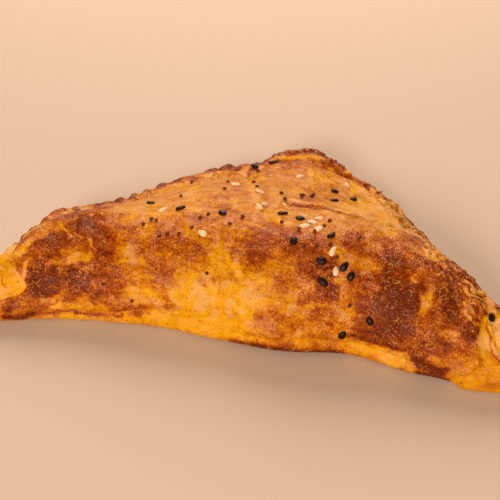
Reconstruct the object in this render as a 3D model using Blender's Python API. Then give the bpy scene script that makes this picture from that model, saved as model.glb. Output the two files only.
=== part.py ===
"""A baked triangular empanada: one pillow of laminated pastry, folded along its long front edge,
sealed along its two back edges and strewn with sesame and poppy seeds.

Metres, +Z up. +X runs along the folded front edge, +Y from that edge towards the blunt back corner.
The origin is at the middle of the underside.
"""

import math
import random

import bmesh
import bpy
import numpy as np
from mathutils import Matrix, Vector, noise
from mathutils.bvhtree import BVHTree

MM = 0.001

# Driving sizes
LENGTH = 154 * MM
CROWN_INSET = 20 * MM
RIM_ROUNDING = 3 * MM
BACK_FOOT = 1.6 * MM
FRONT_FOOT = 2.4 * MM
# How long the rounded end caps are, how square they are (2 is round) and at what share of the height
# they meet in a point
CAP_LENGTH = 5 * MM
CAP_SQUARENESS = 2.2
CAP_CENTRE = 0.42
# Share of the top's slope, from the rim, that stays level
LEVEL_SHARE = 0.08
# Middle of the outline below, which is moved to the origin
MIDDLE = (-0.1 * MM, -0.5 * MM)

# Outline seen from above, between the two end caps, as (x, y) in millimetres
FRONT_EDGE = (
    (-72, -44.8), (-55, -40.4), (-28, -38.3), (-10, -39.9), (4, -41), (24, -38.6), (40, -42), (50, -43),
    (55, -45.6), (72, -43.6),
)
BACK_EDGE = (
    (-72, -22.5), (-69, -12), (-63, -2), (-57, 3.2), (-44, 15.2), (-35, 24.6), (-21, 34.5), (-13, 36.5),
    (-10, 41.5), (-4, 43.4), (5, 42.2), (12, 37.4), (23, 30.4), (30, 24.8), (37, 14.5), (54, -10.5), (62, -20),
    (72, -29),
)
# Height of the crown and thickness of the back rim along x, in millimetres
CROWN_LINE = (
    (-72, 14), (-66, 17), (-58, 19), (-45, 21.5), (-20, 25), (5, 26.5), (25, 26), (42, 23), (56, 18.5),
    (66, 15), (72, 13),
)
RIM_LINE = (
    (-72, 13), (-68, 13.6), (-60, 11.2), (-48, 9.5), (-20, 9), (-10, 10.5), (2, 12.5), (10, 11), (25, 9),
    (60, 8.5), (72, 9),
)

# Swells and hollows of the baked sheet: (x, y, radius along x, radius along y, height), millimetres
SWELLS = (
    (-22, 6, 15, 12, 2.0), (-50, -16, 9, 10, 1.2), (18, -24, 9, 12, 1.4), (8, 10, 12, 9, -2.0),
    (-12, -33, 9, 7, -1.2), (38, -12, 9, 10, 1.3), (4, 36, 9, 5, 1.6), (52, -28, 7, 8, 0.8),
)
# Creases: a path of (x, y) points, then its width and depth, in millimetres
CREASES = (
    (((-20, 30), (-9, 13), (-3, -6), (-3, -16), (2, -21)), 1.5, 0.8),
    (((2, -5.5), (14, -5), (25, -7.5), (34, -9.5)), 1.3, 1.5),
    (((19, 1), (27, -2), (35, -6)), 1.2, 0.8),
    (((-8, 36), (0, 35), (8, 32), (14, 32)), 1.4, 1.1),
    (((-5, 40), (3, 39.5), (9, 36)), 1.2, 0.9),
)

# The fold's lower lip, as (x, height) in millimetres, and how deep the crease above it is along x
LIP_LINE = (
    (-60, 3.2), (-42, 3.9), (-31, 5.8), (-20, 5.7), (0, 4.3), (15, 5.2), (30, 4.2), (44, 4.2), (50, 3.4),
)
LIP_STRENGTH = ((-66, 0), (-58, 1), (-34, 1), (-24, 0.35), (8, 0.35), (16, 1), (42, 1), (48, 0))
LIP_WIDTH = 0.9 * MM
LIP_DEPTH = 1.2 * MM
LIP_BAND = 7.5 * MM

# Pressed seam along the left back edge
CRIMP_SPAN = (-66 * MM, -10 * MM)
CRIMP_PITCH = 6 * MM
CRIMP_DRIFT = 2.4 * MM
CRIMP_HEIGHT = 0.45 * MM
CRIMP_BAND = 5 * MM
CRIMP_FADE = 6 * MM
PIT_INSET = 5.5 * MM
PIT_RADIUS = 1.5 * MM
PIT_DEPTH = 1.0 * MM

# Flaky layers that run beside the right back edge, with that edge's direction seen from above
EDGE_DIRECTION = (0.66, -0.75)
LAYER_LENGTH = 10 * MM
LAYER_PITCH = 2.6 * MM
LAYER_DEPTH = 1.1 * MM
# The flaky zone starts at this x + 0.55 y and behind this y, and a narrow band follows the edge
FLAKY_START = 28 * MM
FLAKY_FULL = 44 * MM
FLAKY_FRONT = -41 * MM
FLAKY_BAND = 7 * MM

# Unevenness of the whole sheet
CRAG_SIZE = 5 * MM
CRAG_DEPTH = 0.35 * MM
WAVE_SIZE = 16 * MM
WAVE_DEPTH = 0.8 * MM

# The glazed crust stops short of the two pale rolled ends: its border as (height, x) in millimetres
CRUST_STEP = 0.9 * MM
LEFT_BORDER = ((5, -78), (7.3, -70), (8.5, -64.5), (10.4, -63), (13, -65.2), (15, -68.7), (17, -73))
RIGHT_BORDER = ((2, 50), (3.5, 50.5), (7, 55), (10, 57), (14, 55.2), (17, 56), (20, 58))
LEFT_ROLL = (-72 * MM, -36.5 * MM, 12.5 * MM)
RIGHT_ROLL = (63.5 * MM, -37.5 * MM, 14 * MM)
BORDER_WIDTH = 1.2 * MM
LEFT_PALE_BACK = -22 * MM
RIGHT_PALE_BACK = -30 * MM
ROLL_PITCH = 2.7 * MM
ROLL_DEPTH = 0.45 * MM
ROLL_DRIFT = 1.6 * MM
ROLL_REACH = 16 * MM

# Seeds: length, width and thickness of a sesame seed, and the share of its thickness that is sunk
SESAME_SIZE = (3.2 * MM, 1.9 * MM, 1.1 * MM)
SESAME_TAPER = 0.35
SESAME_SUNK = 0.3
POPPY_SIZE = 1.1 * MM
POPPY_SUNK = 0.25
# Places of the sesame seeds, as (x, y, height, turn) in millimetres and degrees
BLACK_SESAMES = (
    (7, -25.5, 27, 100), (16.5, -22, 27, 45), (15, -30, 25, 165), (21, -30, 24, 65), (23, -31, 22, 80),
    (16, -33.5, 21, 150), (22.5, -38.5, 8, 60), (59, -33, 16, 5), (18.5, 17.5, 12, 50), (13.5, 11, 15, 10),
    (12.5, 18.5, 13, 15), (7, -14.5, 26, 10), (2, -13, 26, 15), (-36.5, -9, 20, 150), (-26, -14.5, 24, 35),
    (-14, -16, 26, 155), (-9, 34.5, 11, 20), (-14.5, 31.5, 10, 150), (29, -37, 13, 120),
)
WHITE_SESAMES = (
    (-31, -15, 24, 40), (-17.5, -24.5, 25, 160), (-7, 0.5, 22, 10), (-4, -8, 24, 60), (-5, -11, 25, 130),
    (1.5, -5.5, 23, 170), (12, -13, 26, 20), (10.5, -16, 26, 5), (9, -19, 27, 25), (12.8, -19.7, 27, 40),
    (1.5, 22, 15, 30), (15.5, 25.5, 11, 120), (17.5, -27, 26, 70), (19, -31, 23, 95), (-15.5, 8, 19, 170),
)
# Drifts of poppy seeds, as (x, y, spread along x, spread along y, how many), in millimetres
POPPY_DRIFTS = (
    (-22, -21, 9, 4, 14), (-18, 8, 9, 10, 8), (3, 0, 7, 7, 8), (11, -24, 5, 4, 12), (18, -31, 2.5, 2.5, 8),
    (-20, -33, 30, 3, 4),
)
POPPY_GAP = 1.4 * MM
SEED_DRAW = 11

# Facets
STATIONS = 260
END_CROWDING = 0.2
TIP_SHARE = 0.9995
UNDER_POINTS = 10
BACK_POINTS = 16
SLOPE_POINTS = 52
FRONT_POINTS = 44
CRUST_TRIANGLES = 6400
FLAT_BELOW = 0.3 * MM
SHARP_ANGLE = math.radians(45)


def curve_through(points):
    """A smooth function of x through a few (x, value) points, with no overshoot between them."""
    xs = np.array([p[0] for p in points], float) * MM
    ys = np.array([p[1] for p in points], float) * MM
    steps = np.diff(xs)
    slopes = np.diff(ys) / steps
    tangents = np.zeros(len(xs))
    tangents[0] = slopes[0]
    tangents[-1] = slopes[-1]
    for i in range(1, len(xs) - 1):
        if slopes[i - 1] * slopes[i] > 0:
            near = 2 * steps[i] + steps[i - 1]
            far = steps[i] + 2 * steps[i - 1]
            tangents[i] = (near + far) / (near / slopes[i - 1] + far / slopes[i])

    def value(x):
        x = np.clip(x, xs[0], xs[-1])
        i = np.clip(np.searchsorted(xs, x) - 1, 0, len(xs) - 2)
        t = (x - xs[i]) / steps[i]
        start = (1 + 2 * t) * (1 - t) ** 2 * ys[i] + t * (1 - t) ** 2 * steps[i] * tangents[i]
        end = t * t * (3 - 2 * t) * ys[i + 1] + t * t * (t - 1) * steps[i] * tangents[i + 1]
        return start + end

    return value


def smoothstep(low, high, value):
    t = np.clip((value - low) / (high - low), 0, 1)
    return t * t * (3 - 2 * t)


front_edge = curve_through(FRONT_EDGE)
back_edge = curve_through(BACK_EDGE)
crown_line = curve_through(CROWN_LINE)
rim_line = curve_through(RIM_LINE)
lip_line = curve_through(LIP_LINE)
lip_strength = curve_through(LIP_STRENGTH)
left_border = curve_through(LEFT_BORDER)
right_border = curve_through(RIGHT_BORDER)


def turn_in(t):
    """Sine of a quarter turn: leaves 0 steeply and arrives level at 1."""
    return np.sin(t * math.pi / 2)


def turn_out(t):
    """Cosine of a quarter turn: leaves 1 level and arrives steeply at 0."""
    return np.cos(t * math.pi / 2)


def parts_of(count, *breaks):
    """Even steps from 0 to 1 along one stretch of an outline, as the progress in each of its parts."""
    t = np.arange(count) / count
    edges = (0, *breaks, 1)
    return [np.clip((t - low) / (high - low), 0, 1) for low, high in zip(edges, edges[1:])]


def profile(x, under, back, slope, front):
    """The closed outline of each slice across the pastry at the places x, as arrays of y and z: from the
    front of the underside, along it, up the back rim, over the crown and down the front fold."""
    x = x[:, None]
    y_front, y_back = front_edge(x), back_edge(x)
    width = y_back - y_front
    crown, rim = crown_line(x), rim_line(x)
    inset = np.minimum(CROWN_INSET, 0.5 * width)
    y_crown = y_front + inset
    ys, zs = [], []

    (t,) = parts_of(under)
    ys.append(y_front + FRONT_FOOT + (width - FRONT_FOOT - BACK_FOOT) * t)
    zs.append(0 * x + 0 * t)

    foot, face, shoulder = parts_of(back, 0.25, 0.55)
    ys.append(y_back - BACK_FOOT * (1 - turn_in(foot)) - RIM_ROUNDING * (1 - turn_out(shoulder)))
    upright = rim - RIM_ROUNDING - BACK_FOOT
    zs.append(BACK_FOOT * (1 - turn_out(foot)) + upright * face + RIM_ROUNDING * turn_in(shoulder))

    (t,) = parts_of(slope)
    ys.append(y_back - RIM_ROUNDING + (y_crown - y_back + RIM_ROUNDING) * t)
    zs.append(rim + (crown - rim) * (0.8 * smoothstep(LEVEL_SHARE, 1, t) + 0.2 * turn_in(t)))

    fold, foot = parts_of(front, 0.86)
    ys.append(y_front + inset * (1 - turn_in(fold)) + FRONT_FOOT * (1 - turn_out(foot)))
    zs.append(FRONT_FOOT + (crown - FRONT_FOOT) * turn_out(fold) - FRONT_FOOT * turn_in(foot))
    return np.concatenate(ys, axis=1), np.concatenate(zs, axis=1)


def plain_form(stations, *counts):
    """The pillow before any relief, as a grid of positions: one row for each slice. Past the ends of the
    outline the slices shrink, which rounds the two tips."""
    body = LENGTH / 2 - CAP_LENGTH
    spread = np.linspace(-1, 1, stations)
    spread = (1 - END_CROWDING) * spread + END_CROWDING * turn_in(spread)
    x = LENGTH / 2 * TIP_SHARE * spread
    y, z = profile(x, *counts)
    past = np.clip((np.abs(x) - body) / CAP_LENGTH, 0, 1)[:, None]
    size = (1 - past ** CAP_SQUARENESS) ** (1 / CAP_SQUARENESS)
    middle_y = (y.min(axis=1, keepdims=True) + y.max(axis=1, keepdims=True)) / 2
    middle_z = CAP_CENTRE * z.max(axis=1, keepdims=True)
    y = middle_y + (y - middle_y) * size
    z = middle_z + (z - middle_z) * size
    return np.stack([np.broadcast_to(x[:, None], y.shape), y, z], axis=2)


def outward(grid):
    """Unit normals of the grid, pointing out of the pastry."""
    along = np.gradient(grid, axis=0)
    around = np.roll(grid, -1, axis=1) - np.roll(grid, 1, axis=1)
    normals = np.cross(around, along)
    return normals / np.maximum(np.linalg.norm(normals, axis=2, keepdims=True), 1e-12)


def distance_to_path(x, y, path):
    """Distance of every (x, y) to a path of straight pieces."""
    nearest = np.full(x.shape, 1.0)
    for (ax, ay), (bx, by) in zip(path, path[1:]):
        ax, ay, bx, by = (v * MM for v in (ax, ay, bx, by))
        dx, dy = bx - ax, by - ay
        t = np.clip(((x - ax) * dx + (y - ay) * dy) / (dx * dx + dy * dy), 0, 1)
        nearest = np.minimum(nearest, np.hypot(x - ax - dx * t, y - ay - dy * t))
    return nearest


def noise_over(grid, size, seed):
    """Smooth random values, about -1 to 1, at every point of the grid."""
    flat = grid.reshape(-1, 3) / size + 17.3 * seed
    values = [noise.fractal(Vector(p), 0.9, 2.1, 2) for p in flat]
    return np.array(values).reshape(grid.shape[:2])


def broad_relief(x, y, z):
    """Swells, creases and the unevenness of the whole sheet."""
    top = smoothstep(2 * MM, 9 * MM, z)
    move = np.zeros(x.shape)
    for cx, cy, across, along, height in SWELLS:
        near = ((x - cx * MM) / (across * MM)) ** 2 + ((y - cy * MM) / (along * MM)) ** 2
        move += top * height * MM * np.exp(-near)
    for path, width, depth in CREASES:
        gap = distance_to_path(x, y, path)
        move -= top * depth * MM * np.exp(-((gap / (width * MM)) ** 2))
    return move


def lip_relief(x, y, z):
    """The crease above the fold's lower lip."""
    front = smoothstep(1.2 * LIP_BAND, 0.8 * LIP_BAND, y - front_edge(x))
    gap = (z - lip_line(x)) / LIP_WIDTH
    return -LIP_DEPTH * lip_strength(x) / MM * front * np.exp(-gap * gap)


def seam_relief(x, y, z):
    """Crimps pressed into the left back edge, with a pit inside each."""
    inset = (back_edge(x) - y) * EDGE_DIRECTION[0]
    low, high = CRIMP_SPAN
    span = smoothstep(low, low + CRIMP_FADE, x) * smoothstep(high, high - CRIMP_FADE, x)
    span *= smoothstep(0.5 * CRIMP_FADE, CRIMP_FADE, z)
    run = x / EDGE_DIRECTION[0]
    phase = 2 * math.pi * (run + CRIMP_DRIFT * np.sin(run / (2 * CRIMP_PITCH))) / CRIMP_PITCH
    strength = span * (0.6 + 0.4 * np.sin(run / CRIMP_PITCH + 1))
    band = smoothstep(CRIMP_BAND, 0, inset)
    pits = np.exp(-(((inset - PIT_INSET) / PIT_RADIUS) ** 2)) * np.clip(-np.cos(phase), 0, 1)
    return strength * (CRIMP_HEIGHT * band * np.cos(phase) - PIT_DEPTH * pits)


def layer_relief(grid):
    """Flaky layers that run beside the right back edge, standing on their edges."""
    x, y, z = grid[..., 0], grid[..., 1], grid[..., 2]
    ex, ey = EDGE_DIRECTION
    along = x * ex + y * ey
    across = x * -ey + y * ex
    stretched = np.stack([along / LAYER_LENGTH, across / LAYER_PITCH, 1.4 * z / LAYER_PITCH], axis=2)
    flaky = smoothstep(FLAKY_START, FLAKY_FULL, x + 0.55 * y)
    flaky *= smoothstep(FLAKY_FRONT, FLAKY_FRONT + FLAKY_BAND, y)
    edge = smoothstep(FLAKY_BAND, 0.3 * FLAKY_BAND, back_edge(x) - y) * smoothstep(-FLAKY_BAND, FLAKY_BAND, x)
    return LAYER_DEPTH * np.maximum(flaky, edge) * noise_over(stretched, 1, 3)


def pale_ends(x, y, z):
    """1 on the pale rolled ends and 0 on the glazed crust."""
    left = smoothstep(0, BORDER_WIDTH, left_border(z) - x)
    left *= smoothstep(LEFT_PALE_BACK, LEFT_PALE_BACK - 2 * BORDER_WIDTH, y)
    right = smoothstep(0, BORDER_WIDTH, x - right_border(z))
    right *= smoothstep(RIGHT_PALE_BACK, RIGHT_PALE_BACK - 2 * BORDER_WIDTH, y)
    return np.maximum(left, right)


def end_relief(grid):
    """The pale ends lie below the crust, with the uneven rings of the rolled dough."""
    x, y, z = grid[..., 0], grid[..., 1], grid[..., 2]
    move = np.full(x.shape, -CRUST_STEP)
    drift = ROLL_DRIFT * noise_over(grid, ROLL_REACH / 2, 4)
    strength = ROLL_DEPTH * (0.6 + 0.4 * noise_over(grid, ROLL_REACH / 3, 7))
    for cx, cy, cz in (LEFT_ROLL, RIGHT_ROLL):
        reach = np.sqrt((x - cx) ** 2 + (y - cy) ** 2 + (z - cz) ** 2)
        rings = np.cos(2 * math.pi * (reach + drift) / ROLL_PITCH)
        move += strength * rings * smoothstep(ROLL_REACH, 0.5 * ROLL_REACH, reach)
    return pale_ends(x, y, z) * move


def baked_form(stations, *counts):
    grid = plain_form(stations, *counts)
    x, y, z = grid[..., 0], grid[..., 1], grid[..., 2]
    off_ground = smoothstep(0, 2 * MM, z)
    move = broad_relief(x, y, z) + lip_relief(x, y, z) + seam_relief(x, y, z)
    move += layer_relief(grid) + end_relief(grid)
    move += WAVE_DEPTH * noise_over(grid, WAVE_SIZE, 1) + CRAG_DEPTH * noise_over(grid, CRAG_SIZE, 2)
    shaped = grid + outward(grid) * (off_ground * move)[..., None]
    shaped[..., 2] = np.maximum(shaped[..., 2], 0)
    return shaped


def pastry_mesh(name):
    """One closed mesh: the slices joined by quads, and a flat facet at each tip."""
    grid = baked_form(STATIONS, UNDER_POINTS, BACK_POINTS, SLOPE_POINTS, FRONT_POINTS)
    bm = bmesh.new()
    rows = [[bm.verts.new(p) for p in row] for row in grid]
    count = len(rows[0])
    for a, b in zip(rows, rows[1:]):
        for j in range(count):
            k = (j + 1) % count
            bm.faces.new((a[j], a[k], b[k], b[j]))
    bm.faces.new(rows[0])
    bm.faces.new(rows[-1])
    bmesh.ops.triangulate(bm, faces=bm.faces)
    bmesh.ops.recalc_face_normals(bm, faces=bm.faces)
    mesh = bpy.data.meshes.new(name)
    bm.to_mesh(mesh)
    bm.free()
    return mesh


def apply_modifiers(obj):
    """Bakes an object's modifiers into its mesh."""
    shaped = obj.evaluated_get(bpy.context.evaluated_depsgraph_get())
    mesh = bpy.data.meshes.new_from_object(shaped)
    obj.modifiers.clear()
    obj.data = mesh


def fewer_facets(obj, triangles):
    """Collapses the finest facets where the surface is calm, down to a number of triangles."""
    modifier = obj.modifiers.new("fewer_facets", "DECIMATE")
    modifier.ratio = triangles / len(obj.data.polygons)
    apply_modifiers(obj)


def lay_flat(obj):
    """Brings the lowest points to the ground, so that the underside is one true plane."""
    for vert in obj.data.vertices:
        if vert.co.z < FLAT_BELOW:
            vert.co.z = 0


def seed_places(tree):
    """Where the seeds lie on the crust: lists of (place, normal, turn) for the black sesame, the white
    sesame and the poppy seeds. The largest are placed first, and each poppy seed keeps clear of them."""
    sesames = []
    for rows in (BLACK_SESAMES, WHITE_SESAMES):
        found = []
        for x, y, z, turn in rows:
            place, normal, _, _ = tree.find_nearest(Vector((x, y, z)) * MM)
            found.append((place, normal, math.radians(turn)))
        sesames.append(found)
    draw = random.Random(SEED_DRAW)
    taken = [place.xy for found in sesames for place, _, _ in found]
    poppies = []
    for x, y, along, across, count in POPPY_DRIFTS:
        for _ in range(count):
            spot = Vector((draw.gauss(x, along), draw.gauss(y, across))) * MM
            turn = draw.uniform(0, math.tau)
            crowded = any((spot - other).length < POPPY_GAP for other in taken)
            inside = front_edge(spot.x) + POPPY_GAP < spot.y < back_edge(spot.x) - POPPY_GAP
            if crowded or not inside:
                continue
            place, normal, _, _ = tree.ray_cast(Vector((spot.x, spot.y, 1)), Vector((0, 0, -1)))
            poppies.append((place, normal, turn))
            taken.append(spot)
    return sesames[0], sesames[1], poppies


def lying_on(place, normal, turn, lift):
    """A frame lifted from a place on the crust: its z along the normal, its x turned about it."""
    side = Vector((1, 0, 0))
    side = (side - normal * side.dot(normal)).normalized()
    ahead = normal.cross(side)
    along = side * math.cos(turn) + ahead * math.sin(turn)
    rotation = Matrix((along, normal.cross(along), normal)).transposed()
    return Matrix.Translation(place + normal * lift) @ rotation.to_4x4()


def sesame_mesh():
    """A flat drop of six sides, 1 long, 1 wide and 1 thick, with its pointed end at +X."""
    bm = bmesh.new()
    bmesh.ops.create_uvsphere(bm, u_segments=6, v_segments=4, radius=0.5)
    bmesh.ops.rotate(bm, matrix=Matrix.Rotation(math.pi / 2, 3, "Y"), verts=bm.verts)
    for vert in bm.verts:
        vert.co.y *= 1 - SESAME_TAPER * 2 * vert.co.x
    bmesh.ops.triangulate(bm, faces=bm.faces)
    mesh = bpy.data.meshes.new("sesame")
    bm.to_mesh(mesh)
    bm.free()
    return mesh


def poppy_mesh():
    bm = bmesh.new()
    bmesh.ops.create_icosphere(bm, subdivisions=1, radius=0.5)
    mesh = bpy.data.meshes.new("poppy")
    bm.to_mesh(mesh)
    bm.free()
    return mesh


def seeds_on(crust):
    """The seeds as solids of their own, partly sunk in the crust, in one collection."""
    collection = bpy.data.collections.new("seeds")
    bpy.context.scene.collection.children.link(collection)
    tree = BVHTree.FromObject(crust, bpy.context.evaluated_depsgraph_get())
    black, white, poppies = seed_places(tree)
    sesame, poppy = sesame_mesh(), poppy_mesh()
    lift = (0.5 - SESAME_SUNK) * SESAME_SIZE[2]
    for place, normal, turn in black + white:
        seed = bpy.data.objects.new("sesame", sesame)
        seed.matrix_world = lying_on(place, normal, turn, lift) @ Matrix.Diagonal((*SESAME_SIZE, 1))
        collection.objects.link(seed)
    lift = (0.5 - POPPY_SUNK) * POPPY_SIZE
    for place, normal, turn in poppies:
        seed = bpy.data.objects.new("poppy", poppy)
        seed.matrix_world = lying_on(place, normal, turn, lift) @ Matrix.Scale(POPPY_SIZE, 4)
        collection.objects.link(seed)
    return collection


def fuse(crust, collection):
    """Joins everything in the collection to the crust, then removes it."""
    union = crust.modifiers.new("fused_seeds", "BOOLEAN")
    union.operation = "UNION"
    union.operand_type = "COLLECTION"
    union.collection = collection
    union.solver = "EXACT"
    apply_modifiers(crust)
    for seed in list(collection.objects):
        bpy.data.objects.remove(seed, do_unlink=True)
    bpy.data.collections.remove(collection)


def keep_outer_skin(obj):
    """Drops every loose scrap and sealed hollow, and keeps the largest connected skin."""
    bm = bmesh.new()
    bm.from_mesh(obj.data)
    unseen = set(bm.verts)
    skins = []
    while unseen:
        border = [unseen.pop()]
        skin = set(border)
        while border:
            vert = border.pop()
            for edge in vert.link_edges:
                other = edge.other_vert(vert)
                if other in unseen:
                    unseen.remove(other)
                    skin.add(other)
                    border.append(other)
        skins.append(skin)
    largest = max(skins, key=len)
    scraps = [vert for vert in bm.verts if vert not in largest]
    bmesh.ops.delete(bm, geom=scraps, context="VERTS")
    bmesh.ops.triangulate(bm, faces=bm.faces)
    bm.to_mesh(obj.data)
    bm.free()


def crust_material():
    material = bpy.data.materials.new("glazed_puff_pastry")
    material.use_nodes = True
    shader = material.node_tree.nodes["Principled BSDF"]
    shader.inputs["Base Color"].default_value = (0.62, 0.24, 0.045, 1.0)
    shader.inputs["Roughness"].default_value = 0.42
    shader.inputs["Metallic"].default_value = 0.0
    return material


def main():
    for old in list(bpy.data.objects):
        bpy.data.objects.remove(old, do_unlink=True)
    empanada = bpy.data.objects.new("empanada", pastry_mesh("empanada"))
    bpy.context.scene.collection.objects.link(empanada)
    fewer_facets(empanada, CRUST_TRIANGLES)
    lay_flat(empanada)
    fuse(empanada, seeds_on(empanada))
    keep_outer_skin(empanada)
    empanada.data.transform(Matrix.Translation((-MIDDLE[0], -MIDDLE[1], 0)))
    empanada.data.materials.clear()
    empanada.data.materials.append(crust_material())
    empanada.data.shade_smooth()
    empanada.data.set_sharp_from_angle(angle=SHARP_ANGLE)


main()
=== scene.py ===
"""Looks of a baked triangular empanada: its crust with the colours and the fine relief of the bake, the
seeds and the loose flakes on it, and a plain stage.

Metres, +Z up. +X runs along the folded front edge, +Y from that edge towards the blunt back corner.
The origin is at the middle of the underside.
"""

import math
import random

import bmesh
import bpy
import numpy as np
from bpy.props import FloatProperty, FloatVectorProperty, IntProperty, PointerProperty
from mathutils import Matrix, Vector, noise
from mathutils.bvhtree import BVHTree


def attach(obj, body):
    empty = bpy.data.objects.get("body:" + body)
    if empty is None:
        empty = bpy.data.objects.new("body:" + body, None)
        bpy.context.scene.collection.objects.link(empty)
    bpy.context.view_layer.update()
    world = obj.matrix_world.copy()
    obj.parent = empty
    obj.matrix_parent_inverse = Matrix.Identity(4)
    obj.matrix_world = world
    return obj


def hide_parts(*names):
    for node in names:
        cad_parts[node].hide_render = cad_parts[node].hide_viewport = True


bl_info = {
    "name": "Baked empanada",
    "version": (1, 0, 0),
    "blender": (4, 5, 0),
    "location": "View3D > Sidebar > Empanada",
    "description": "Dresses a packed empanada with its crust, its seeds, its loose flakes and a plain stage",
    "category": "Object",
}

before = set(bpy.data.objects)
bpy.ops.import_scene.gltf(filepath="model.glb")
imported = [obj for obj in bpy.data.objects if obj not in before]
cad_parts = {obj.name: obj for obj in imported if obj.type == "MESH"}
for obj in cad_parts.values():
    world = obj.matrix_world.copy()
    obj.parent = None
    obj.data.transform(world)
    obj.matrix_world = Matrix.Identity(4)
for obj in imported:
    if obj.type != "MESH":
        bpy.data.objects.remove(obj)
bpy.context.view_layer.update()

MM = 0.001

# Driving sizes
LENGTH = 154 * MM
CROWN_INSET = 20 * MM
RIM_ROUNDING = 3 * MM
BACK_FOOT = 1.6 * MM
FRONT_FOOT = 2.4 * MM
# How long the rounded end caps are, how square they are (2 is round) and at what share of the height
# they meet in a point
CAP_LENGTH = 5 * MM
CAP_SQUARENESS = 2.2
CAP_CENTRE = 0.42
# Share of the top's slope, from the rim, that stays level
LEVEL_SHARE = 0.08
# Middle of the outline below, which is moved to the origin
MIDDLE = (-0.1 * MM, -0.5 * MM)

# Outline seen from above, between the two end caps, as (x, y) in millimetres
FRONT_EDGE = (
    (-72, -44.8), (-55, -40.4), (-28, -38.3), (-10, -39.9), (4, -41), (24, -38.6), (40, -42), (50, -43),
    (55, -45.6), (72, -43.6),
)
BACK_EDGE = (
    (-72, -22.5), (-69, -12), (-63, -2), (-57, 3.2), (-44, 15.2), (-35, 24.6), (-21, 34.5), (-13, 36.5),
    (-10, 41.5), (-4, 43.4), (5, 42.2), (12, 37.4), (23, 30.4), (30, 24.8), (37, 14.5), (54, -10.5),
    (62, -20), (72, -29),
)
# Height of the crown and thickness of the back rim along x, in millimetres
CROWN_LINE = (
    (-72, 14), (-66, 17), (-58, 19), (-45, 21.5), (-20, 25), (5, 26.5), (25, 26), (42, 23), (56, 18.5),
    (66, 15), (72, 13),
)
RIM_LINE = (
    (-72, 13), (-68, 13.6), (-60, 11.2), (-48, 9.5), (-20, 9), (-10, 10.5), (2, 12.5), (10, 11), (25, 9),
    (60, 8.5), (72, 9),
)

# Swells and hollows of the baked sheet: (x, y, radius along x, radius along y, height), millimetres
SWELLS = (
    (-22, 6, 15, 12, 2.0), (-50, -16, 9, 10, 1.2), (18, -24, 9, 12, 1.4), (8, 10, 12, 9, -2.0),
    (-12, -33, 9, 7, -1.2), (38, -12, 9, 10, 1.3), (4, 36, 9, 5, 1.6), (52, -28, 7, 8, 0.8),
)
# Creases: a path of (x, y) points, then its width and depth, in millimetres
CREASES = (
    (((-20, 30), (-9, 13), (-3, -6), (-3, -16), (2, -21)), 1.5, 0.8),
    (((2, -5.5), (14, -5), (25, -7.5), (34, -9.5)), 1.3, 1.5),
    (((19, 1), (27, -2), (35, -6)), 1.2, 0.8),
    (((-8, 36), (0, 35), (8, 32), (14, 32)), 1.4, 1.1),
    (((-5, 40), (3, 39.5), (9, 36)), 1.2, 0.9),
)

# The fold's lower lip, as (x, height) in millimetres, and how deep the crease above it is along x
LIP_LINE = (
    (-60, 3.2), (-42, 3.9), (-31, 5.8), (-20, 5.7), (0, 4.3), (15, 5.2), (30, 4.2), (44, 4.2), (50, 3.4),
)
LIP_STRENGTH = ((-66, 0), (-58, 1), (-34, 1), (-24, 0.35), (8, 0.35), (16, 1), (42, 1), (48, 0))
LIP_WIDTH = 0.9 * MM
LIP_DEPTH = 1.2 * MM
LIP_BAND = 7.5 * MM

# Pressed seam along the left back edge
CRIMP_SPAN = (-66 * MM, -10 * MM)
CRIMP_PITCH = 6 * MM
CRIMP_DRIFT = 2.4 * MM
CRIMP_HEIGHT = 0.45 * MM
CRIMP_BAND = 5 * MM
CRIMP_FADE = 6 * MM
PIT_INSET = 5.5 * MM
PIT_RADIUS = 1.5 * MM
PIT_DEPTH = 1.0 * MM

# Flaky layers that run beside the right back edge, with that edge's direction seen from above
EDGE_DIRECTION = (0.66, -0.75)
LAYER_LENGTH = 10 * MM
LAYER_PITCH = 2.6 * MM
LAYER_DEPTH = 1.1 * MM
# The flaky zone starts at this x + FLAKY_TURN y and behind this y, and a narrow band follows the edge
FLAKY_START = 28 * MM
FLAKY_FULL = 44 * MM
FLAKY_TURN = 0.55
FLAKY_FRONT = -41 * MM
FLAKY_BAND = 7 * MM

# Unevenness of the whole sheet
CRAG_SIZE = 5 * MM
CRAG_DEPTH = 0.35 * MM
WAVE_SIZE = 16 * MM
WAVE_DEPTH = 0.8 * MM

# The glazed crust stops short of the two pale rolled ends: its border as (height, x) in millimetres
CRUST_STEP = 0.9 * MM
LEFT_BORDER = ((5, -78), (7.3, -70), (8.5, -64.5), (10.4, -63), (13, -65.2), (15, -68.7), (17, -73))
RIGHT_BORDER = ((2, 50), (3.5, 50.5), (7, 55), (10, 57), (14, 55.2), (17, 56), (20, 58))
LEFT_ROLL = (-72 * MM, -36.5 * MM, 12.5 * MM)
RIGHT_ROLL = (63.5 * MM, -37.5 * MM, 14 * MM)
BORDER_WIDTH = 1.2 * MM
LEFT_PALE_BACK = -22 * MM
RIGHT_PALE_BACK = -30 * MM
ROLL_PITCH = 2.7 * MM
ROLL_DEPTH = 0.45 * MM
ROLL_DRIFT = 1.6 * MM
ROLL_REACH = 16 * MM

# Seeds: length, width and thickness of a sesame seed in millimetres, how much it narrows to its tip, and the
# share of its thickness that is sunk
SESAME_SIZE = (3.2, 1.9, 1.1)
SESAME_TAPER = 0.22
SESAME_SUNK = 0.3
# Length of a poppy seed, its width and height as a share of it, its taper, and the share that is sunk
POPPY_SIZE = 1.1
POPPY_ROUND = 0.9
POPPY_TAPER = 0.1
POPPY_SUNK = 0.25
# How uneven the skin of each kind is, and over what distance
SESAME_SKIN = (0.3 * MM, 0.8 * MM)
POPPY_SKIN = (0.18 * MM, 0.4 * MM)
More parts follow.
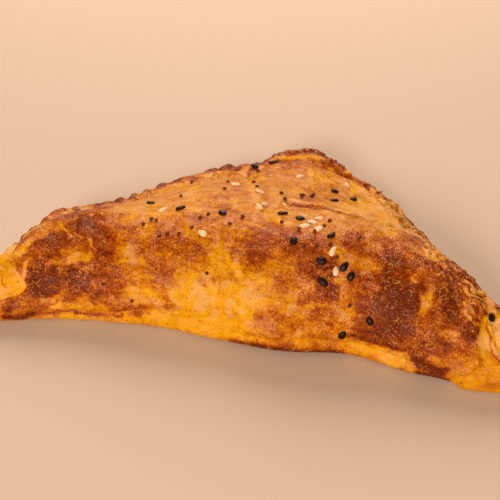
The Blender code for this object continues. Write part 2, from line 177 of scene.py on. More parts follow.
# Smallest and largest share of its kind's size that a seed has
SEED_SIZES = (0.88, 1.1)
# Places of the sesame seeds, as (x, y, height, turn) in millimetres and degrees
BLACK_SESAMES = (
    (7, -25.5, 27, 100), (16.5, -22, 27, 45), (15, -30, 25, 165), (21, -30, 24, 65), (23, -31, 22, 80),
    (16, -33.5, 21, 150), (22.5, -38.5, 8, 60), (59, -33, 16, 5), (18.5, 17.5, 12, 50), (13.5, 11, 15, 10),
    (12.5, 18.5, 13, 15), (7, -14.5, 26, 10), (2, -13, 26, 15), (-36.5, -9, 20, 150), (-26, -14.5, 24, 35),
    (-14, -16, 26, 155), (-9, 34.5, 11, 20), (-14.5, 31.5, 10, 150), (29, -37, 13, 120),
)
WHITE_SESAMES = (
    (-31, -15, 24, 40), (-17.5, -24.5, 25, 160), (-7, 0.5, 22, 10), (-4, -8, 24, 60), (-5, -11, 25, 130),
    (1.5, -5.5, 23, 170), (12, -13, 26, 20), (10.5, -16, 26, 5), (9, -19, 27, 25), (12.8, -19.7, 27, 40),
    (1.5, 22, 15, 30), (15.5, 25.5, 11, 120), (17.5, -27, 26, 70), (19, -31, 23, 95), (-15.5, 8, 19, 170),
)
# Drifts of poppy seeds, as (x, y, spread along x, spread along y, how many), in millimetres
POPPY_DRIFTS = (
    (-22, -21, 9, 4, 14), (-18, 8, 9, 10, 8), (3, 0, 7, 7, 8), (11, -24, 5, 4, 12), (18, -31, 2.5, 2.5, 8),
    (-20, -33, 30, 3, 4),
)
POPPY_GAP = 1.4 * MM
SEED_DRAW = 11

# Steps of the crust's own mesh, along the pastry and round each slice
STATIONS = 440
END_CROWDING = 0.2
TIP_SHARE = 0.9995
UNDER_POINTS = 10
BACK_POINTS = 26
SLOPE_POINTS = 108
FRONT_POINTS = 78

# How far the crust is baked: 0 is pale dough, 0.1 yellow, 0.2 golden, 0.4 orange, 0.6 brown and 0.9 burnt.
# Strokes are laid one over another, as (x, height up the slice from the fold's foot, half length, half width,
# turn, level), in millimetres and degrees
PLAIN_LEVEL = 0.42
BAKED_STROKES = (
    # The level top behind the fold
    (-30, 60, 26, 28, 0, 0.27), (5, 62, 36, 26, 0, 0.29), (-27, 56, 3, 10, 8, 0.17),
    (-15, 64, 6, 10, 15, 0.4), (-6, 93, 6, 2.5, 0, 0.6), (8, 70, 9, 6, 0, 0.42), (13, 65, 2.5, 8, 0, 0.26),
    (27, 54, 9, 4, -10, 0.15), (-14, 42, 6, 4, 0, 0.4), (-11.5, 46, 2, 3, 0, 0.24), (-5, 46, 6, 5, 0, 0.28),
    (8, 47, 10, 5, 0, 0.3), (28, 75, 8, 7, 0, 0.05), (26, 60, 8, 4, 0, 0.24), (15, 65, 4, 6, 0, 0.22),
    (7, 62, 3, 6, 0, 0.44), (-35, 81, 5, 5, 0, 0.55), (33, 61, 5.5, 13, -8, 0.06),
    (26, 53, 10, 3, -12, 0.12), (30, 45, 7, 5, 0, 0.26), (-22, 85, 5, 4, 0, 0.3), (20, 87, 5, 6, 0, 0.12),
    (-12, 78, 4, 4, 0, 0.14), (2, 70, 3.4, 3.4, 0, 0.2), (-17.5, 50, 3, 2.2, 0, 0.44),
    (-3, 90, 3.4, 2.4, 0, 0.55), (7, 86, 4, 3.4, 0, 0.14), (13, 94, 4, 3, 0, 0.24),
    (12, 54, 3.4, 1.8, 0, 0.44), (22, 62, 6, 4, -10, 0.1), (26, 66, 4, 5, 0, 0.12), (36, 68, 3, 8, 0, 0.04),
    (33, 46, 3, 3.5, 0, 0.06), (-72, 34, 4, 4, 0, 0.1), (2.5, 22, 3, 2.2, 0, 0.14),
    (40, 44, 5, 8, -20, 0.5),
    # The left part
    (-54, 20, 16, 15, 0, 0.60), (-59, 14, 5.5, 5.5, 0, 0.8), (-58, 11.8, 2.6, 2.6, 0, 0.94),
    (-53, 16.5, 4, 2, 15, 0.9), (-48, 13, 9, 4, 0, 0.74), (-51, 30, 6, 5, -20, 0.78),
    (-57, 27.5, 4, 3, 20, 0.66), (-62.5, 24, 3.5, 5, 25, 0.64), (-58.5, 22.5, 3, 3, 0, 0.74),
    (-46, 27, 4, 4.5, 20, 0.68), (-42.5, 20.5, 3.5, 6.5, 10, 0.66), (-42, 15, 4, 4, 0, 0.58),
    (-56, 18.7, 4.6, 1.7, 0, 0.48), (-52.5, 22, 4.6, 2.2, -6, 0.42), (-50.5, 20.4, 3.4, 1.5, 10, 0.24),
    (-63, 29.5, 4, 2.4, 30, 0.38), (-59, 33, 4, 2, 30, 0.45), (-57, 37, 4, 3, 0, 0.72),
    (-63, 37, 4, 3, 20, 0.5), (-68, 35, 3.2, 4, 0, 0.2), (-50, 40, 6, 3, 0, 0.62),
    (-67, 23, 1.6, 4, -20, 0.2), (-64.5, 17.5, 0.9, 3.5, -15, 0.22), (-43, 45, 5, 8, 0, 0.28),
    (-43, 34, 3.5, 3.5, 0, 0.42), (-35, 39, 7, 5, 0, 0.24), (-34, 32.5, 6.5, 2.6, 0, 0.34),
    (-37.5, 27.5, 3, 3, 0, 0.52), (-32, 28, 2.4, 1.8, 0, 0.26), (-27, 27, 5, 4, 0, 0.5),
    (-37.5, 22, 2.5, 3.5, 0, 0.24), (-33, 20.7, 2.6, 1.6, 0, 0.22), (-33, 17, 4.5, 3, 0, 0.36),
    (-27.5, 21.5, 3.6, 4, 0, 0.46), (-37, 13.5, 3.5, 2.5, 0, 0.52), (-31, 12.5, 6, 3, 0, 0.22),
    (-48, 9, 9, 1.4, 0, 0.5), (-38, 2.5, 30, 2.4, 0, 0.24), (-57, 8.2, 3.2, 1.2, 0, 0.26),
    (-67, 7, 3.6, 2, 0, 0.7), (-68, 6.5, 1.6, 1.2, 0, 0.9), (-61, 7, 3.5, 2, 0, 0.5),
    (-53, 5.3, 5, 1.1, 0, 0.16), (-46, 6.6, 7, 1.9, 0, 0.34), (-35, 7.4, 6.5, 1.3, 8, 0.56),
    (-30, 5, 7, 1.4, 6, 0.18),
    # The middle
    (-22, 8.8, 6, 1.3, 0, 0.42), (-18, 15, 6, 6, 0, 0.14), (-15, 18.5, 1.3, 1.2, 0, 0.46),
    (-7, 15, 9, 6, 0, 0.17), (-12, 6, 18, 3.4, 0, 0.13), (-12.5, 26, 3, 4.5, 0, 0.22),
    # (-6.5, 23.2) is a painted highlight along a ridge of the fold
    (-12, 21.5, 4, 1.8, 0, 0.2), (3.5, 22.5, 2.4, 2.6, 0, 0.3), (-6.5, 23.2, 5.5, 1.1, -38, 0.12),
    (-1, 22, 4, 2, 0, 0.28), (-22, 32.5, 7, 2.8, 0, 0.38), (-20, 36.2, 6, 1.5, 0, 0.48),
    (-22, 27, 6, 2.4, 0, 0.55), (-7, 34, 3, 7, 0, 0.42), (-2, 30, 3.5, 5.5, 10, 0.6),
    (1.5, 35, 5, 3.8, 0, 0.56), (3, 27, 2.8, 2.2, 0, 0.34), (7.5, 27, 3, 2, 0, 0.4),
    (10, 32, 5.5, 4, 0, 0.62), (17, 32, 3, 2.4, 0, 0.46), (6.8, 22, 3, 3.2, 0, 0.42),
    (12.5, 26, 3, 2.8, 0, 0.76), (12.3, 19, 2.4, 3, 0, 0.52), (16.8, 20.8, 2.6, 4, 25, 0.68),
    (15.6, 22.6, 1.3, 1.6, 0, 0.85), (7.5, 16.5, 3.2, 4, 0, 0.28), (1.5, 13, 3, 2, 20, 0.48),
    (7, 11.5, 3, 1.8, 0, 0.47), (5, 7.7, 6, 2.4, 0, 0.36), (-0.5, 5.5, 3, 2.2, 0, 0.34),
    (12.5, 7.5, 2.8, 3, 0, 0.22), (17.5, 7.5, 3, 2.4, 0, 0.42), (15, 13, 6, 4, 0, 0.34),
    (20, 26, 2.4, 5, 0, 0.36),
    # The right part
    (34, 20, 10, 13, 0, 0.80), (35, 17, 4.5, 2.6, 0, 0.97), (36, 22, 4, 3.4, 0, 0.93),
    (33, 30, 3.8, 5.5, 0, 0.8), (37.5, 27.2, 3, 2, 0, 0.76), (27.5, 22, 3, 4, 0, 0.62),
    (26, 28, 4.5, 2.6, 0, 0.34), (27.3, 34, 2.3, 2, 0, 0.34), (22.5, 34, 3, 3.5, 0, 0.6),
    (31.5, 37, 4.5, 2.6, 0, 0.5), (39.5, 37, 3.4, 5, 0, 0.32), (22.5, 14.5, 3, 5.5, 0, 0.36),
    (27.5, 12, 3.5, 4, 0, 0.62), (34, 11.5, 7, 2.4, 0, 0.84), (41.9, 22.3, 1.3, 3.1, 0, 0.24),
    (38.8, 28.6, 1.6, 1.3, 0, 0.24), (43, 27, 2.6, 2.2, 0, 0.42), (42.5, 17.5, 2.6, 2.4, 0, 0.6),
    (48, 25, 3.5, 4.5, 0, 0.78), (48, 18, 3.5, 2.6, 0, 0.56), (47.6, 22, 3, 2.4, 0, 0.95),
    (48.5, 15.2, 3, 1, 0, 0.28), (52.5, 18, 2.6, 3, 0, 0.72), (54.6, 18, 0.8, 4, 0, 0.9),
    (45, 12, 6, 3, 0, 0.74), (52.5, 12, 3, 3, 0, 0.5), (52.5, 7, 3.2, 3, 0, 0.3), (46, 33, 9, 5, 0, 0.78),
    (38, 43, 7, 3, -30, 0.5), (57, 28, 3, 2, 0, 0.4), (52.5, 36.5, 4, 4, 0, 0.66),
    (42.5, 37.5, 3, 3, 0, 0.28), (42.5, 30.8, 3, 2.4, 0, 0.5), (17.5, 26, 2.4, 2.4, 0, 0.72),
    (17, 14, 3.4, 2.6, 0, 0.5),
    # The fold's unbaked lower lip and its burnt spots
    (31.5, 5.2, 9.5, 3.3, 0, 0.16), (36, 4.5, 4, 2.6, 0, 0.14), (47, 7, 4, 1.6, 0, 0.38),
    (42.4, 7, 2, 1.8, 0, 1.0), (43.6, 5, 2.4, 1.4, -20, 0.95), (46.5, 4.8, 3.6, 1.1, 0, 0.94),
    (20, 5.2, 5, 1.4, 0, 0.3),
)
STROKE_SOFT = (1.4, 0.5)
STROKE_WARP = 1.6 * MM
STROKE_JITTER = 0.4
# Thin lines drawn into the bake's level, some of them painted light as marked: a path of (x, height up the
# slice) points, half width and level
LINES_OF_BAKE_AND_LIGHT = (
    # Painted shade in the crease above the fold's lower lip, on the left
    (((-69, 3.7), (-62, 3.7), (-52, 4.2), (-44, 4.0), (-37, 4.6)), 0.28, 0.68),
    # Painted shade where the dark crust steps down to the fold's lower lip, on the right; then a burnt spot
    (((25, 9), (32, 8.8), (40, 9.2)), 0.6, 0.98), (((-69, 3.4), (-62, 3.6)), 0.7, 1.0),
    # The torn crease on the top: painted highlights along its raised edges, then painted shade along its
    # bottom
    (((1, 57), (8, 56.8), (14, 56.4), (20, 54.8)), 0.6, 0.2), (((1, 53), (8, 52.2), (15, 51.3)), 0.8, 0.3),
    (((3, 55.3), (8, 55.3), (13, 54.8)), 0.3, 0.62), (((13, 54.8), (18, 53.1), (21, 51.8)), 0.26, 0.55),
    (((-9, 98), (-6, 97.4), (-3, 97), (0, 96.2), (5, 96.5)), 0.6, 0.1),
    (((-3, 99), (1, 98.2), (5, 98.8)), 0.9, 0.95), (((6, 95.3), (9, 94.6), (12, 94.7)), 0.35, 0.85),
    (((12, 96), (16, 94), (20, 91.5)), 1.1, 0.28),
    # Painted highlight along a ridge of the top
    (((-13, 73), (-9.5, 60), (-6, 50), (-2, 43), (5, 40)), 1.2, 0.2),
    (((-18, 90), (-15.5, 86.5), (-13, 83.5)), 0.4, 0.62), (((-10, 87), (-8.5, 82)), 0.8, 0.48),
    (((-60, 31.5), (-57, 28.8), (-54.5, 26.4)), 0.3, 0.2), (((-54, 28), (-50, 26.5)), 0.3, 0.22),
    (((-49, 26), (-46, 23)), 0.4, 0.24), (((-50, 17.5), (-46, 18.6)), 0.35, 0.24),
)
# The same for the pale ends, over dough that is baked this far
END_LEVEL = 0.28
END_STROKES = (
    (-68, 12, 6, 4.6, 0, 0.08), (-67, 18, 5, 2.6, 0, 0.2), (-71, 19.5, 1.6, 1.8, 0, 0.24),
    (-73, 29, 4, 8, 0, 0.04), (60, 20, 4, 5.6, 0, 0.03), (57, 15, 1.2, 6, 0, 0.2), (58, 8, 4, 3, 0, 0.3),
    (61, 5, 3, 2, 0, 0.36),
)
END_LINES = (
    (((-70.5, 16), (-69.6, 14), (-68.6, 12.2)), 0.3, 0.6),
    (((-71, 21), (-68, 18.5), (-65.5, 16)), 0.3, 0.46),
    (((57.9, 22.5), (58.2, 19), (59, 16), (60.2, 13.6), (62.4, 11.4)), 0.32, 0.54),
    (((57, 24.2), (59.5, 24.6)), 0.6, 0.7), (((59.6, 21.5), (60.2, 17.5), (61.2, 15)), 0.22, 0.3),
)
# Size of the noise that the drawn strokes wander with, and the noise that frays their borders, as (size,
# share, seed)
WARP_SIZE = 3.5 * MM
FRAYS = ((2.4 * MM, 0.6, 23), (1.1 * MM, 0.5, 26))
# Thin lines wander less
LINE_WARP = 0.3
# The dark rim: how far from the back edge it starts and is full, the heights between which it starts, its
# level, how much more the right half is baked and between which x that half starts
RIM_REACH = (6.6 * MM, 2.4 * MM)
RIM_HEIGHT = (4 * MM, 8 * MM)
RIM_BAKED = 0.7
RIM_RIGHT_MORE = 0.1
RIM_RIGHT = (-14 * MM, -6 * MM)
RIM_PATCH = 4 * MM
# Between these x the rim's dark band is narrower, by this much
RIM_NARROW_FROM = (20 * MM, 27 * MM)
RIM_NARROW_TO = (44 * MM, 38 * MM)
RIM_NARROWER = 2.2 * MM
# Painted shade at the fold's foot near the ground, right of the middle: its heights, its level, and the
# gap that the pale lip leaves
FOOT_HEIGHT = (3.2 * MM, 1.6 * MM)
FOOT_START = (-12 * MM, 0)
FOOT_WANDER = 4 * MM
FOOT_PAINTED_SHADE = 0.9
FOOT_GAP = ((21 * MM, 25 * MM), (43 * MM, 41 * MM))

# Size and depth of the roughness of the rim and of the flaky part
ROUGH_SIZE = 1.7 * MM
ROUGH_DEPTH = 0.3 * MM
# Heights between which the rough and the lumpy rim rise from the smooth foot
ROUGH_HEIGHT = (2 * MM, 5 * MM)
# Lumps of the pressed left rim, how far in they reach and how much less they are baked between
LUMP_SIZE = 3.2 * MM
LUMP_DEPTH = 0.45 * MM
LUMP_BAND = 8 * MM
LUMP_SWING = 0.3
LUMP_END = (-6 * MM, -12 * MM)
# From which x + LAYERS_TURN y the flaky layers show, and above which heights
LAYERS_SHOW = (31 * MM, 36 * MM)
LAYERS_TURN = 0.35
LAYERS_HEIGHT = (1.5 * MM, 4 * MM)
# Size of the patches in which the layers are broken open, and where a layer's top lies against the skin
LAYER_PATCH = 3.5 * MM
LAYER_RISE = 0.18
LAYER_FALL = 0.4
# How unevenly the layers are baked, the painted shade that darkens each layer behind, in the crevice before
# the next, and the painted highlight along its front edge, a strip with its middle and width as shares of
# the layer
LAYER_SWING = 0.4
LAYER_PAINTED_SHADE = 0.38
LAYER_PAINTED_HIGHLIGHT = 0.2
LAYER_HIGHLIGHT_STRIP = (0.22, 0.16)
# The flaky part is baked at least this far, in the mesh and after its flecks
FLAKY_LEAST = 0.24
FLECK_LEAST = 0.16
# The outermost rim has fewer pale flecks, between these insets
RIM_FLECKS = (4 * MM, 1.5 * MM)
RIM_FLECKS_LESS = 0.7
# Painted shade: how much darker the bottom of a crease is drawn
CREASE_PAINTED_SHADE = 0.1

# Colours of the bake and the levels at which they are reached
BAKE_STOPS = (
    ("dough", 0.0), ("yellow", 0.1), ("golden", 0.22), ("orange", 0.38), ("brown", 0.6), ("burnt", 0.92),
)
# Mottling of the bake, as (size in millimetres, swing of the level). It grows with the level from this share
# on, and is less on the pale ends
MOTTLES = ((7.0, 0.08), (2.6, 0.11), (1.1, 0.11))
MOTTLE_LEAST = 0.38
MOTTLE_PALE_LESS = 0.25
# Streaks drawn out along the fold: size along, across and through, in millimetres, and their swing
STREAK_SIZES = (9.0, 1.6, 1.6)
STREAK_TURN = math.radians(-14)
STREAK_SWING = 0.12
# Size of the skin's cracked cells and how far their edges wander, in millimetres, the cracks' half width as a
# share of that size, the size of the edges' bends and that of the patches where the cracks open
CRACK_SIZE = 2.2
CRACK_BEND = 2.4
CRACK_WIDTH = 0.045
CRACK_BEND_SIZE = 1.7
CRACK_PATCH = 2.8
# Distance between the burnt specks, in millimetres, their radius as a share of it, and how much darker they
# are
SPECK_GAP = 3.4
SPECK_RADIUS = 0.11
SPECK_DARKER = 0.35
# Torn flecks of the flaky layers: size along the layers, across them and through them, in millimetres, and
# how much paler they are drawn, partly the pale dough of the torn layers and partly painted highlight
FLECK_SIZES = (2.4, 0.8, 0.8)
FLECK_SWING = 0.36
# Grain of the skin that is too fine for the mesh, as (size, depth) in millimetres, and the height in
# millimetres that the bump's unit stands for
GRAINS = ((0.6, 0.16), (1.2, 0.12))
GRAIN_UNIT = 0.1
PIMPLE_SIZE = 0.55
PIMPLE_DEPTH = 0.13
# Painted shade: how much darker the colour is drawn in the hollows between the pimples
PIMPLE_PAINTED_SHADE = 0.12
# Painted sheen and glints, pale pinkish patches in the colour: their size, in millimetres, how strongly they
# are painted, how much more of the flaky part is, and the heights between which they begin
SHEEN_PATCH_SIZE = 4.2
SHEEN_SHARE = 0.6
SHEEN_FLAKY = 0.12
SHEEN_HEIGHT = (5 * MM, 9 * MM)
SHEEN_FOOT = 0.25
# Between these levels the painted sheen turns from dough's colour to its own, and leaves the gaps
# between pimples
SHEEN_LEVELS = (0.25, 0.55)
# The glaze's roughness, from its wettest to its driest patches, and how much duller the pale ends are
GLAZE_ROUGHNESS = (0.2, 0.46)
PALE_DULLER = 0.2

# The seeds' second colours, and how much smaller the sesame seeds are than whole ones
BLACK_SHADE = "#0A0404"
WHITE_SHADE = "#F0D49E"
POPPY_SHADE = "#744436"
BLACK_SHORTER = 0.88
WHITE_SHORTER = 0.92
WHITE_NARROWER = 0.88
# Loose flakes: where along x they lie, in millimetres, how far in from the rim they spread, and how far sunk
FLAKE_DRAW = 5
FLAKE_SPAN = (-8, 60)
FLAKE_BAND = 2.2 * MM
FLAKE_SUNK = 0.14 * MM

# The camera looks down at the part, which is turned a little in its view
CAMERA_PLACE = (36.13 * MM, -224.96 * MM, 181.0 * MM)
CAMERA_PITCH = math.radians(38)
CAMERA_TURN = math.radians(11.5)
CAMERA_LENS = 70.56
SENSOR_WIDTH = 36.0
# The soft lights, as how far ahead of the origin, to its right and above it they are, seen by the camera, and
# how wide, in metres
BACK_LIGHT = (0.62, 0, 0.5, 0.5)
FRONT_LIGHT = (-0.72, -0.25, 0.38, 0.26)
# Tones of the soft lights and of the room, and the floor's half width
LIGHT_TONE = "#FAD2BC"
ROOM_TONE = "#FACDB0"
FLOOR_REACH = 3.0


def curve_through(points):
    """A smooth function of x through a few (x, value) points, with no overshoot between them."""
    xs = np.array([p[0] for p in points], float) * MM
    ys = np.array([p[1] for p in points], float) * MM
    steps = np.diff(xs)
    slopes = np.diff(ys) / steps
    tangents = np.zeros(len(xs))
    tangents[0] = slopes[0]
    tangents[-1] = slopes[-1]
    for i in range(1, len(xs) - 1):
        if slopes[i - 1] * slopes[i] > 0:
            near = 2 * steps[i] + steps[i - 1]
            far = steps[i] + 2 * steps[i - 1]
            tangents[i] = (near + far) / (near / slopes[i - 1] + far / slopes[i])

    def value(x):
        """The curve's value at x, which is held within its ends."""
        x = np.clip(x, xs[0], xs[-1])
        i = np.clip(np.searchsorted(xs, x) - 1, 0, len(xs) - 2)
        t = (x - xs[i]) / steps[i]
        start = (1 + 2 * t) * (1 - t) ** 2 * ys[i] + t * (1 - t) ** 2 * steps[i] * tangents[i]
        end = t * t * (3 - 2 * t) * ys[i + 1] + t * t * (t - 1) * steps[i] * tangents[i + 1]
        return start + end

    return value


def smoothstep(low, high, value):
    """0 below low and 1 above high, with a smooth rise between. It falls where low is the higher one."""
    t = np.clip((value - low) / (high - low), 0, 1)
    return t * t * (3 - 2 * t)


def towards(level, target, share):
    """The level, drawn towards a target by a share."""
    return level + (target - level) * share


front_edge = curve_through(FRONT_EDGE)
back_edge = curve_through(BACK_EDGE)
crown_line = curve_through(CROWN_LINE)
rim_line = curve_through(RIM_LINE)
lip_line = curve_through(LIP_LINE)
lip_strength = curve_through(LIP_STRENGTH)
left_border = curve_through(LEFT_BORDER)
right_border = curve_through(RIGHT_BORDER)


def turn_in(t):
    """Sine of a quarter turn: leaves 0 steeply and arrives level at 1."""
    return np.sin(t * math.pi / 2)


def turn_out(t):
    """Cosine of a quarter turn: leaves 1 level and arrives steeply at 0."""
    return np.cos(t * math.pi / 2)


def parts_of(count, *breaks):
    """Even steps from 0 to 1 along one stretch of an outline, as the progress in each of its parts."""
    t = np.arange(count) / count
    edges = (0, *breaks, 1)
    return [np.clip((t - low) / (high - low), 0, 1) for low, high in zip(edges, edges[1:])]


def profile(x, under, back, slope, front):
    """The closed outline of each slice across the pastry at the places x, as arrays of y and z: from the
    front of the underside, along it, up the back rim, over the crown and down the front fold."""
    x = x[:, None]
    y_front, y_back = front_edge(x), back_edge(x)
    width = y_back - y_front
    crown, rim = crown_line(x), rim_line(x)
    inset = np.minimum(CROWN_INSET, 0.5 * width)
    y_crown = y_front + inset
    ys, zs = [], []

    (t,) = parts_of(under)
    ys.append(y_front + FRONT_FOOT + (width - FRONT_FOOT - BACK_FOOT) * t)
    zs.append(0 * x + 0 * t)

    foot, face, shoulder = parts_of(back, 0.25, 0.55)
    ys.append(y_back - BACK_FOOT * (1 - turn_in(foot)) - RIM_ROUNDING * (1 - turn_out(shoulder)))
    upright = rim - RIM_ROUNDING - BACK_FOOT
    zs.append(BACK_FOOT * (1 - turn_out(foot)) + upright * face + RIM_ROUNDING * turn_in(shoulder))

    (t,) = parts_of(slope)
    ys.append(y_back - RIM_ROUNDING + (y_crown - y_back + RIM_ROUNDING) * t)
    zs.append(rim + (crown - rim) * (0.8 * smoothstep(LEVEL_SHARE, 1, t) + 0.2 * turn_in(t)))

    fold, foot = parts_of(front, 0.86)
    ys.append(y_front + inset * (1 - turn_in(fold)) + FRONT_FOOT * (1 - turn_out(foot)))
    zs.append(FRONT_FOOT + (crown - FRONT_FOOT) * turn_out(fold) - FRONT_FOOT * turn_in(foot))
    return np.concatenate(ys, axis=1), np.concatenate(zs, axis=1)


def plain_form(stations, *counts):
    """The pillow before any relief, as a grid of positions: one row for each slice. Past the ends of the
    outline the slices shrink, which rounds the two tips."""
    body = LENGTH / 2 - CAP_LENGTH
    spread = np.linspace(-1, 1, stations)
    spread = (1 - END_CROWDING) * spread + END_CROWDING * turn_in(spread)
    x = LENGTH / 2 * TIP_SHARE * spread
    y, z = profile(x, *counts)
    past = np.clip((np.abs(x) - body) / CAP_LENGTH, 0, 1)[:, None]
    size = (1 - past ** CAP_SQUARENESS) ** (1 / CAP_SQUARENESS)
    middle_y = (y.min(axis=1, keepdims=True) + y.max(axis=1, keepdims=True)) / 2
    middle_z = CAP_CENTRE * z.max(axis=1, keepdims=True)
    y = middle_y + (y - middle_y) * size
    z = middle_z + (z - middle_z) * size
    return np.stack([np.broadcast_to(x[:, None], y.shape), y, z], axis=2)


def outward(grid):
    """Unit normals of the grid, pointing out of the pastry."""
    along = np.gradient(grid, axis=0)
    around = np.roll(grid, -1, axis=1) - np.roll(grid, 1, axis=1)
    normals = np.cross(around, along)
    return normals / np.maximum(np.linalg.norm(normals, axis=2, keepdims=True), 1e-12)


def raised(grid, height):
    """The grid, moved outwards by a height at every point."""
    return grid + outward(grid) * height[..., None]


def distance_to_path(x, y, path):
    """Distance of every (x, y) to a path of straight pieces."""
    nearest = np.full(x.shape, 1.0)
    for (ax, ay), (bx, by) in zip(path, path[1:]):
        ax, ay, bx, by = (v * MM for v in (ax, ay, bx, by))
        dx, dy = bx - ax, by - ay
        t = np.clip(((x - ax) * dx + (y - ay) * dy) / (dx * dx + dy * dy), 0, 1)
        nearest = np.minimum(nearest, np.hypot(x - ax - dx * t, y - ay - dy * t))
    return nearest


def noise_over(grid, size, seed):
    """Smooth random values, about -1 to 1, at every point of the grid."""
    flat = grid.reshape(-1, 3) / size + 17.3 * seed
    values = [noise.fractal(Vector(p), 0.9, 2.1, 2) for p in flat]
    return np.array(values).reshape(grid.shape[:2])


def broad_relief(x, y, z):
    """Swells, creases and the unevenness of the whole sheet."""
    top = smoothstep(2 * MM, 9 * MM, z)
    move = np.zeros(x.shape)
    for cx, cy, across, along, height in SWELLS:
        near = ((x - cx * MM) / (across * MM)) ** 2 + ((y - cy * MM) / (along * MM)) ** 2
        move += top * height * MM * np.exp(-near)
    for path, width, depth in CREASES:
        gap = distance_to_path(x, y, path)
        move -= top * depth * MM * np.exp(-((gap / (width * MM)) ** 2))
    return move


def lip_relief(x, y, z):
    """The crease above the fold's lower lip."""
    front = smoothstep(1.2 * LIP_BAND, 0.8 * LIP_BAND, y - front_edge(x))
    gap = (z - lip_line(x)) / LIP_WIDTH
    return -LIP_DEPTH * lip_strength(x) / MM * front * np.exp(-gap * gap)


def seam_relief(x, y, z):
    """Crimps pressed into the left back edge, with a pit inside each."""
    inset = (back_edge(x) - y) * EDGE_DIRECTION[0]
    low, high = CRIMP_SPAN
    span = smoothstep(low, low + CRIMP_FADE, x) * smoothstep(high, high - CRIMP_FADE, x)
    span *= smoothstep(0.5 * CRIMP_FADE, CRIMP_FADE, z)
    run = x / EDGE_DIRECTION[0]
    phase = 2 * math.pi * (run + CRIMP_DRIFT * np.sin(run / (2 * CRIMP_PITCH))) / CRIMP_PITCH
    strength = span * (0.6 + 0.4 * np.sin(run / CRIMP_PITCH + 1))
    band = smoothstep(CRIMP_BAND, 0, inset)
    pits = np.exp(-(((inset - PIT_INSET) / PIT_RADIUS) ** 2)) * np.clip(-np.cos(phase), 0, 1)
    return strength * (CRIMP_HEIGHT * band * np.cos(phase) - PIT_DEPTH * pits)


def edge_band(x, y):
    """1 beside the right back edge, where the layers come to the surface."""
    return smoothstep(FLAKY_BAND, 0.3 * FLAKY_BAND, back_edge(x) - y) * smoothstep(-FLAKY_BAND, FLAKY_BAND, x)


def layer_relief(grid):
    """Flaky layers that run beside the right back edge, standing on their edges."""
    x, y, z = grid[..., 0], grid[..., 1], grid[..., 2]
    ex, ey = EDGE_DIRECTION
    along = x * ex + y * ey
    across = x * -ey + y * ex
    stretched = np.stack([along / LAYER_LENGTH, across / LAYER_PITCH, 1.4 * z / LAYER_PITCH], axis=2)
    flaky = smoothstep(FLAKY_START, FLAKY_FULL, x + FLAKY_TURN * y)
    flaky *= smoothstep(FLAKY_FRONT, FLAKY_FRONT + FLAKY_BAND, y)
    return LAYER_DEPTH * np.maximum(flaky, edge_band(x, y)) * noise_over(stretched, 1, 3)


def pale_ends(x, y, z):
    """1 on the pale rolled ends and 0 on the glazed crust."""
    left = smoothstep(0, BORDER_WIDTH, left_border(z) - x)
    left *= smoothstep(LEFT_PALE_BACK, LEFT_PALE_BACK - 2 * BORDER_WIDTH, y)
    right = smoothstep(0, BORDER_WIDTH, x - right_border(z))
    right *= smoothstep(RIGHT_PALE_BACK, RIGHT_PALE_BACK - 2 * BORDER_WIDTH, y)
    return np.maximum(left, right)


def end_relief(grid):
    """The pale ends lie below the crust, with the uneven rings of the rolled dough."""
    x, y, z = grid[..., 0], grid[..., 1], grid[..., 2]
    move = np.full(x.shape, -CRUST_STEP)
    drift = ROLL_DRIFT * noise_over(grid, ROLL_REACH / 2, 4)
    strength = ROLL_DEPTH * (0.6 + 0.4 * noise_over(grid, ROLL_REACH / 3, 7))
    for cx, cy, cz in (LEFT_ROLL, RIGHT_ROLL):
        reach = np.sqrt((x - cx) ** 2 + (y - cy) ** 2 + (z - cz) ** 2)
        rings = np.cos(2 * math.pi * (reach + drift) / ROLL_PITCH)
        move += strength * rings * smoothstep(ROLL_REACH, 0.5 * ROLL_REACH, reach)
    return pale_ends(x, y, z) * move


def baked_form(stations, *counts):
    """The pastry's form as the solid has it, without its seeds."""
    grid = plain_form(stations, *counts)
    x, y, z = grid[..., 0], grid[..., 1], grid[..., 2]
    move = broad_relief(x, y, z) + lip_relief(x, y, z) + seam_relief(x, y, z)
    move += layer_relief(grid) + end_relief(grid)
    move += WAVE_DEPTH * noise_over(grid, WAVE_SIZE, 1) + CRAG_DEPTH * noise_over(grid, CRAG_SIZE, 2)
    shaped = raised(grid, smoothstep(0, 2 * MM, z) * move)
    shaped[..., 2] = np.maximum(shaped[..., 2], 0)
    return shaped


def linear(code):
    """An sRGB hex colour as linear red, green, blue and full alpha."""
    channels = [int(code[i:i + 2], 16) / 255 for i in (1, 3, 5)]
    return (*[c / 12.92 if c <= 0.04045 else ((c + 0.055) / 1.055) ** 2.4 for c in channels], 1.0)


def colour(name, code, description):
    """A colour that a user can change."""
    return FloatVectorProperty(
        name=name, description=description, subtype="COLOR", size=4, min=0, max=1, default=linear(code),
    )


def length(name, millimetres, description):
    """A length that a user can change, kept in metres."""
    return FloatProperty(
        name=name, description=description, unit="LENGTH", min=0, precision=5, default=millimetres * MM,
    )


